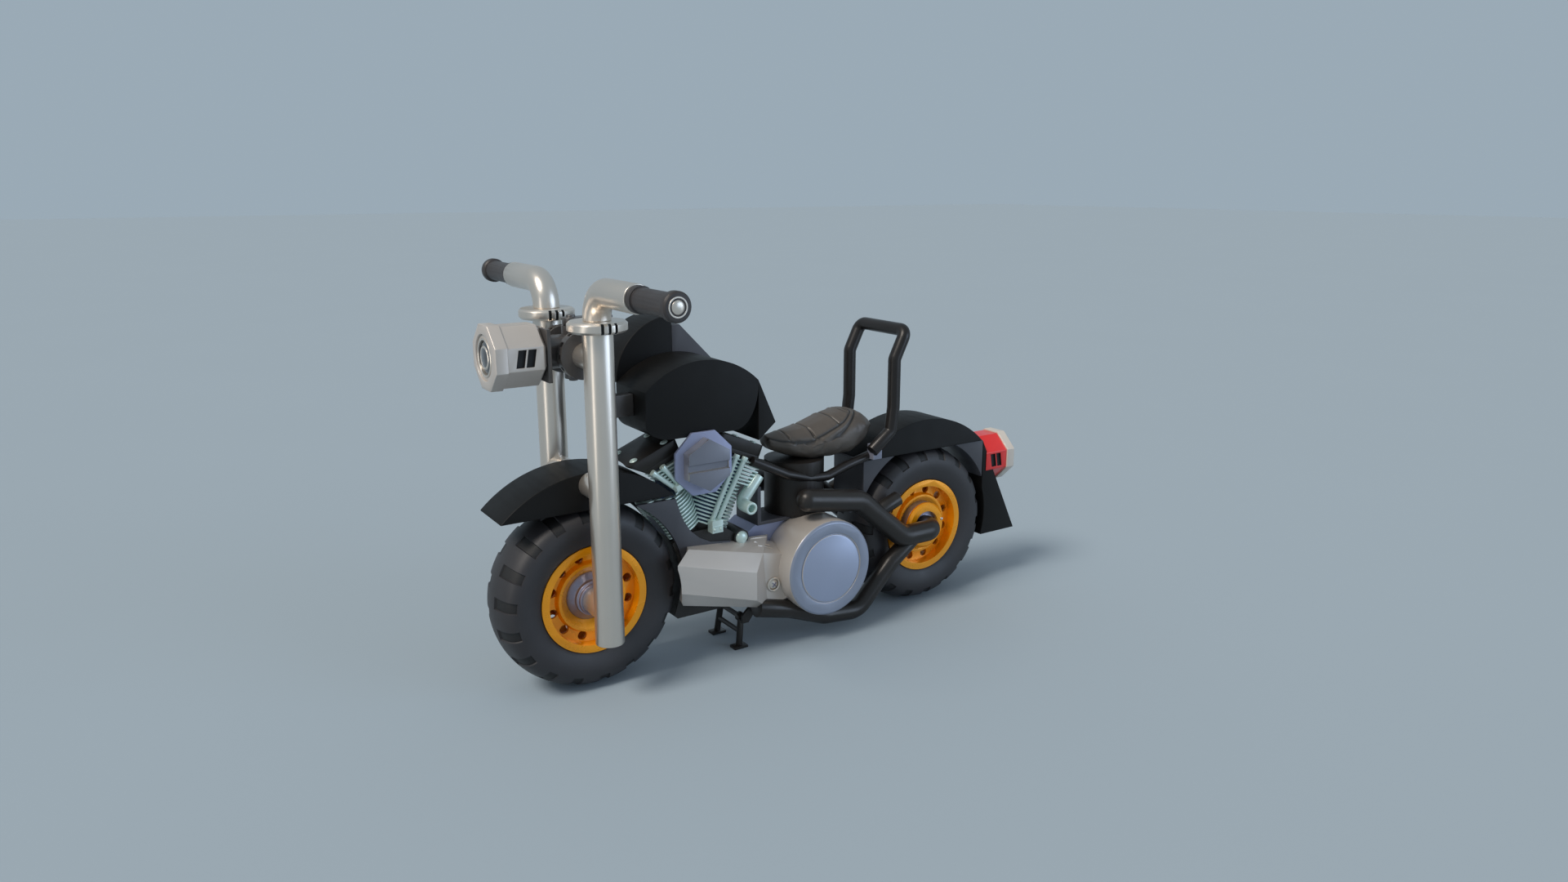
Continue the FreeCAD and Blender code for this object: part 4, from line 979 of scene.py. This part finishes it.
def stitch_rows(pad, path):
    """Short threads on both sides of the welt"""
    surface = BVHTree.FromPolygons([v.co for v in pad.data.vertices],
                                   [list(p.vertices) for p in pad.data.polygons])
    bm = bmesh.new()
    pitch = sizes().stitch_pitch
    gone = 0.0
    for a, b in zip(path, path[1:]):
        run = b - a
        while gone < run.length:
            spot = a + run.normalized() * gone
            side = Vector((0, 0, 1)).cross(run.normalized())
            for offset in (-STITCH_LINE, STITCH_LINE):
                start = spot + side * offset + Vector((0, 0, STITCH_FROM_Z))
                hit, normal, *_ = surface.ray_cast(start, Vector((0, 0, -1)))
                if hit is None or normal.z < 0.2:
                    continue
                along = (run - normal * run.dot(normal)).normalized()
                turn = Matrix((along, normal.cross(along), normal)).transposed().to_4x4()
                shape = Matrix.Diagonal((*THREAD, 1.0))
                bmesh.ops.create_uvsphere(bm, u_segments=6, v_segments=4, radius=1.0,
                                          matrix=Matrix.Translation(hit + normal * 0.0004) @ turn @ shape)
            gone += pitch
        gone -= run.length
    thread = finish("Seat thread", colours().thread, 0.0, 0.6, grain=(900.0, 0.0002))
    add_piece(bm, "seat_stitches", "frame", "seat_leather", material=thread)


class CRUISER_OT_seat(bpy.types.Operator):
    """Leather seat pad with a stitched welt and pleats"""
    bl_idname = "cruiser.seat"
    bl_label = "Seat"

    def execute(self, context):
        low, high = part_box("seat")
        middle = (low + high) / 2
        bm = merged_copy("seat")
        bmesh.ops.scale(bm, vec=(SHRINK, SHRINK, SHRINK), space=Matrix.Translation(-middle), verts=bm.verts)
        pad = add_piece(bm, "seat_pad", "frame", "seat_leather", ["seat"], outward=False)
        remesh = pad.modifiers.new("Remesh", "REMESH")
        remesh.mode = "VOXEL"
        remesh.voxel_size = VOXEL
        settle(pad)
        soften(pad, SOFTEN_BEFORE)
        blow_up(pad, context.scene)
        soften(pad, SOFTEN_AFTER)
        smooth = pad.modifiers.new("Smooth", "SUBSURF")
        smooth.levels = smooth.render_levels = 1
        settle(pad)
        for vert in pad.data.vertices:
            vert.co.z = max(vert.co.z, low.z + 0.0004)
        path = seam_path()
        press_seams(pad.data, path)
        if not pad.data.materials:
            pad.data.materials.append(finish_of("seat_leather"))
        pad.data.shade_smooth()
        stitch_rows(pad, path)
        return {"FINISHED"}


class CRUISER_OT_rest(bpy.types.Operator):
    """Stops with an error if a node is left that no other operator has dressed"""
    bl_idname = "cruiser.rest"
    bl_label = "Remaining pieces"

    def execute(self, context):
        for name, node in frame["nodes"].items():
            if not node.hide_render:
                raise RuntimeError("No operator dresses " + name)
        return {"FINISHED"}


def hang(name, light, spot, aim):
    """Places a light so that it shines at a point"""
    lamp = bpy.data.objects.new(name, light)
    lamp.location = spot
    lamp.rotation_mode = "QUATERNION"
    lamp.rotation_quaternion = (aim - spot).to_track_quat("-Z", "Y")
    bpy.context.scene.collection.objects.link(lamp)
    return lamp


def sun(name, spot, aim, strength, spread, colour):
    """Far light, with its spread in degrees"""
    light = bpy.data.lights.new(name, "SUN")
    light.energy = strength
    light.angle = math.radians(spread)
    light.color = colour
    hang(name, light, spot, aim)


def strip(name, spot, aim, width, height, power, colour):
    """Tall lamp that only mirrors in glossy faces"""
    light = bpy.data.lights.new(name, "AREA")
    light.shape = "RECTANGLE"
    light.size = width
    light.size_y = height
    light.energy = power
    light.color = colour
    lamp = hang(name, light, spot, Vector((aim.x, aim.y, spot.z)))
    lamp.visible_diffuse = False
    lamp.visible_camera = False


def backdrop_mix(tree, lit, seen):
    """Shows the second shader to camera, mirror and glass rays, and the first to all others"""
    path = tree.nodes.new("ShaderNodeLightPath")
    total = path.outputs["Is Camera Ray"]
    for name in ("Is Glossy Ray", "Is Transmission Ray"):
        add = tree.nodes.new("ShaderNodeMath")
        add.operation = "ADD"
        add.use_clamp = True
        tree.links.new(total, add.inputs[0])
        tree.links.new(path.outputs[name], add.inputs[1])
        total = add.outputs[0]
    mix = tree.nodes.new("ShaderNodeMixShader")
    tree.links.new(total, mix.inputs[0])
    tree.links.new(lit, mix.inputs[1])
    tree.links.new(seen, mix.inputs[2])
    return mix.outputs[0]


SKY_COLOUR = (0.94, 0.97, 1.0)
SKY_LEVEL = 0.42
FLOOR_LEVEL = 0.95
FLOOR_HALF = 60.0
LIGHTS_AIM = (-0.8, 0.0, 0.5)
# name, place, strength, spread in degrees, colour
SUNS = (("key", (3.0, 0.7, 5.2), 2.15, 22.0, (1.0, 0.92, 0.83)),
        ("fill", (-4.4, 4.4, 1.4), 0.8, 40.0, (0.60, 0.76, 1.0)))
# name, place, width, height, power, colour
STRIPS = (("strip_front", (3.3, 0.9, 1.1), 0.6, 2.2, 9.0, (1.0, 0.95, 0.88)),
          ("strip_rear", (-3.4, 3.4, 1.1), 0.8, 2.2, 9.0, (0.72, 0.84, 1.0)))


class CRUISER_OT_stage(bpy.types.Operator):
    """Pale floor, soft studio light and the camera"""
    bl_idname = "cruiser.stage"
    bl_label = "Stage"

    def execute(self, context):
        scene = context.scene
        scene.view_settings.view_transform = "Standard"
        bm = bmesh.new()
        bmesh.ops.create_grid(bm, x_segments=1, y_segments=1, size=FLOOR_HALF)
        mesh = bpy.data.meshes.new("floor")
        bm.to_mesh(mesh)
        bm.free()
        mesh.materials.append(finish("Floor", colours().floor, 0.0, 0.9, mottle=(0.6, 0.004), shine=0.0))
        floor = bpy.data.objects.new("floor", mesh)
        scene.collection.objects.link(floor)

        world = bpy.data.worlds.new("Studio")
        world.use_nodes = True
        scene.world = world
        tree = world.node_tree
        lit = tree.nodes["Background"]
        lit.inputs["Color"].default_value = (*SKY_COLOUR, 1.0)
        lit.inputs["Strength"].default_value = SKY_LEVEL
        seen = tree.nodes.new("ShaderNodeBackground")
        seen.inputs["Color"].default_value = tuple(colours().floor) + (1.0,)
        seen.inputs["Strength"].default_value = FLOOR_LEVEL
        out = tree.nodes["World Output"]
        tree.links.new(backdrop_mix(tree, lit.outputs[0], seen.outputs[0]), out.inputs["Surface"])

        for name, spot, *rest in SUNS:
            sun(name, place(*spot), place(*LIGHTS_AIM), *rest)
        for name, spot, *rest in STRIPS:
            strip(name, place(*spot), place(*LIGHTS_AIM), *rest)

        data = bpy.data.cameras.new("camera")
        data.sensor_width = SENSOR
        data.lens = CAMERA_LENS
        camera = bpy.data.objects.new("camera", data)
        turn = Matrix((CAMERA_RIGHT, CAMERA_UP, -CAMERA_AHEAD)).transposed().to_4x4()
        camera.matrix_world = Matrix.Translation(place(*CAMERA_PLACE)) @ turn
        scene.collection.objects.link(camera)
        scene.camera = camera
        return {"FINISHED"}


class CRUISER_PT_panel(bpy.types.Panel):
    """Sidebar panel with the cruiser's pieces"""
    bl_idname = "CRUISER_PT_panel"
    bl_label = "Cruiser"
    bl_space_type = "VIEW_3D"
    bl_region_type = "UI"
    bl_category = "Cruiser"

    def draw(self, context):
        for operator in OPERATORS:
            self.layout.operator(operator.bl_idname)
        for group in (context.scene.cruiser_sizes, context.scene.cruiser_colours):
            for key in group.__annotations__:
                self.layout.prop(group, key)


OPERATORS = (CRUISER_OT_tyres, CRUISER_OT_wheels, CRUISER_OT_fork, CRUISER_OT_lamps, CRUISER_OT_bodywork,
             CRUISER_OT_engine, CRUISER_OT_drive, CRUISER_OT_frame, CRUISER_OT_seat, CRUISER_OT_rest,
             CRUISER_OT_stage)
CLASSES = (CruiserColours, CruiserSizes, *OPERATORS, CRUISER_PT_panel)


def register():
    for cls in CLASSES:
        bpy.utils.register_class(cls)
    bpy.types.Scene.cruiser_colours = PointerProperty(type=CruiserColours)
    bpy.types.Scene.cruiser_sizes = PointerProperty(type=CruiserSizes)


def unregister():
    del bpy.types.Scene.cruiser_sizes
    del bpy.types.Scene.cruiser_colours
    for cls in reversed(CLASSES):
        bpy.utils.unregister_class(cls)


def main():
    register()
    for operator in OPERATORS:
        group, name = operator.bl_idname.split(".")
        getattr(getattr(bpy.ops, group), name)()


if __name__ == "__main__":
    main()
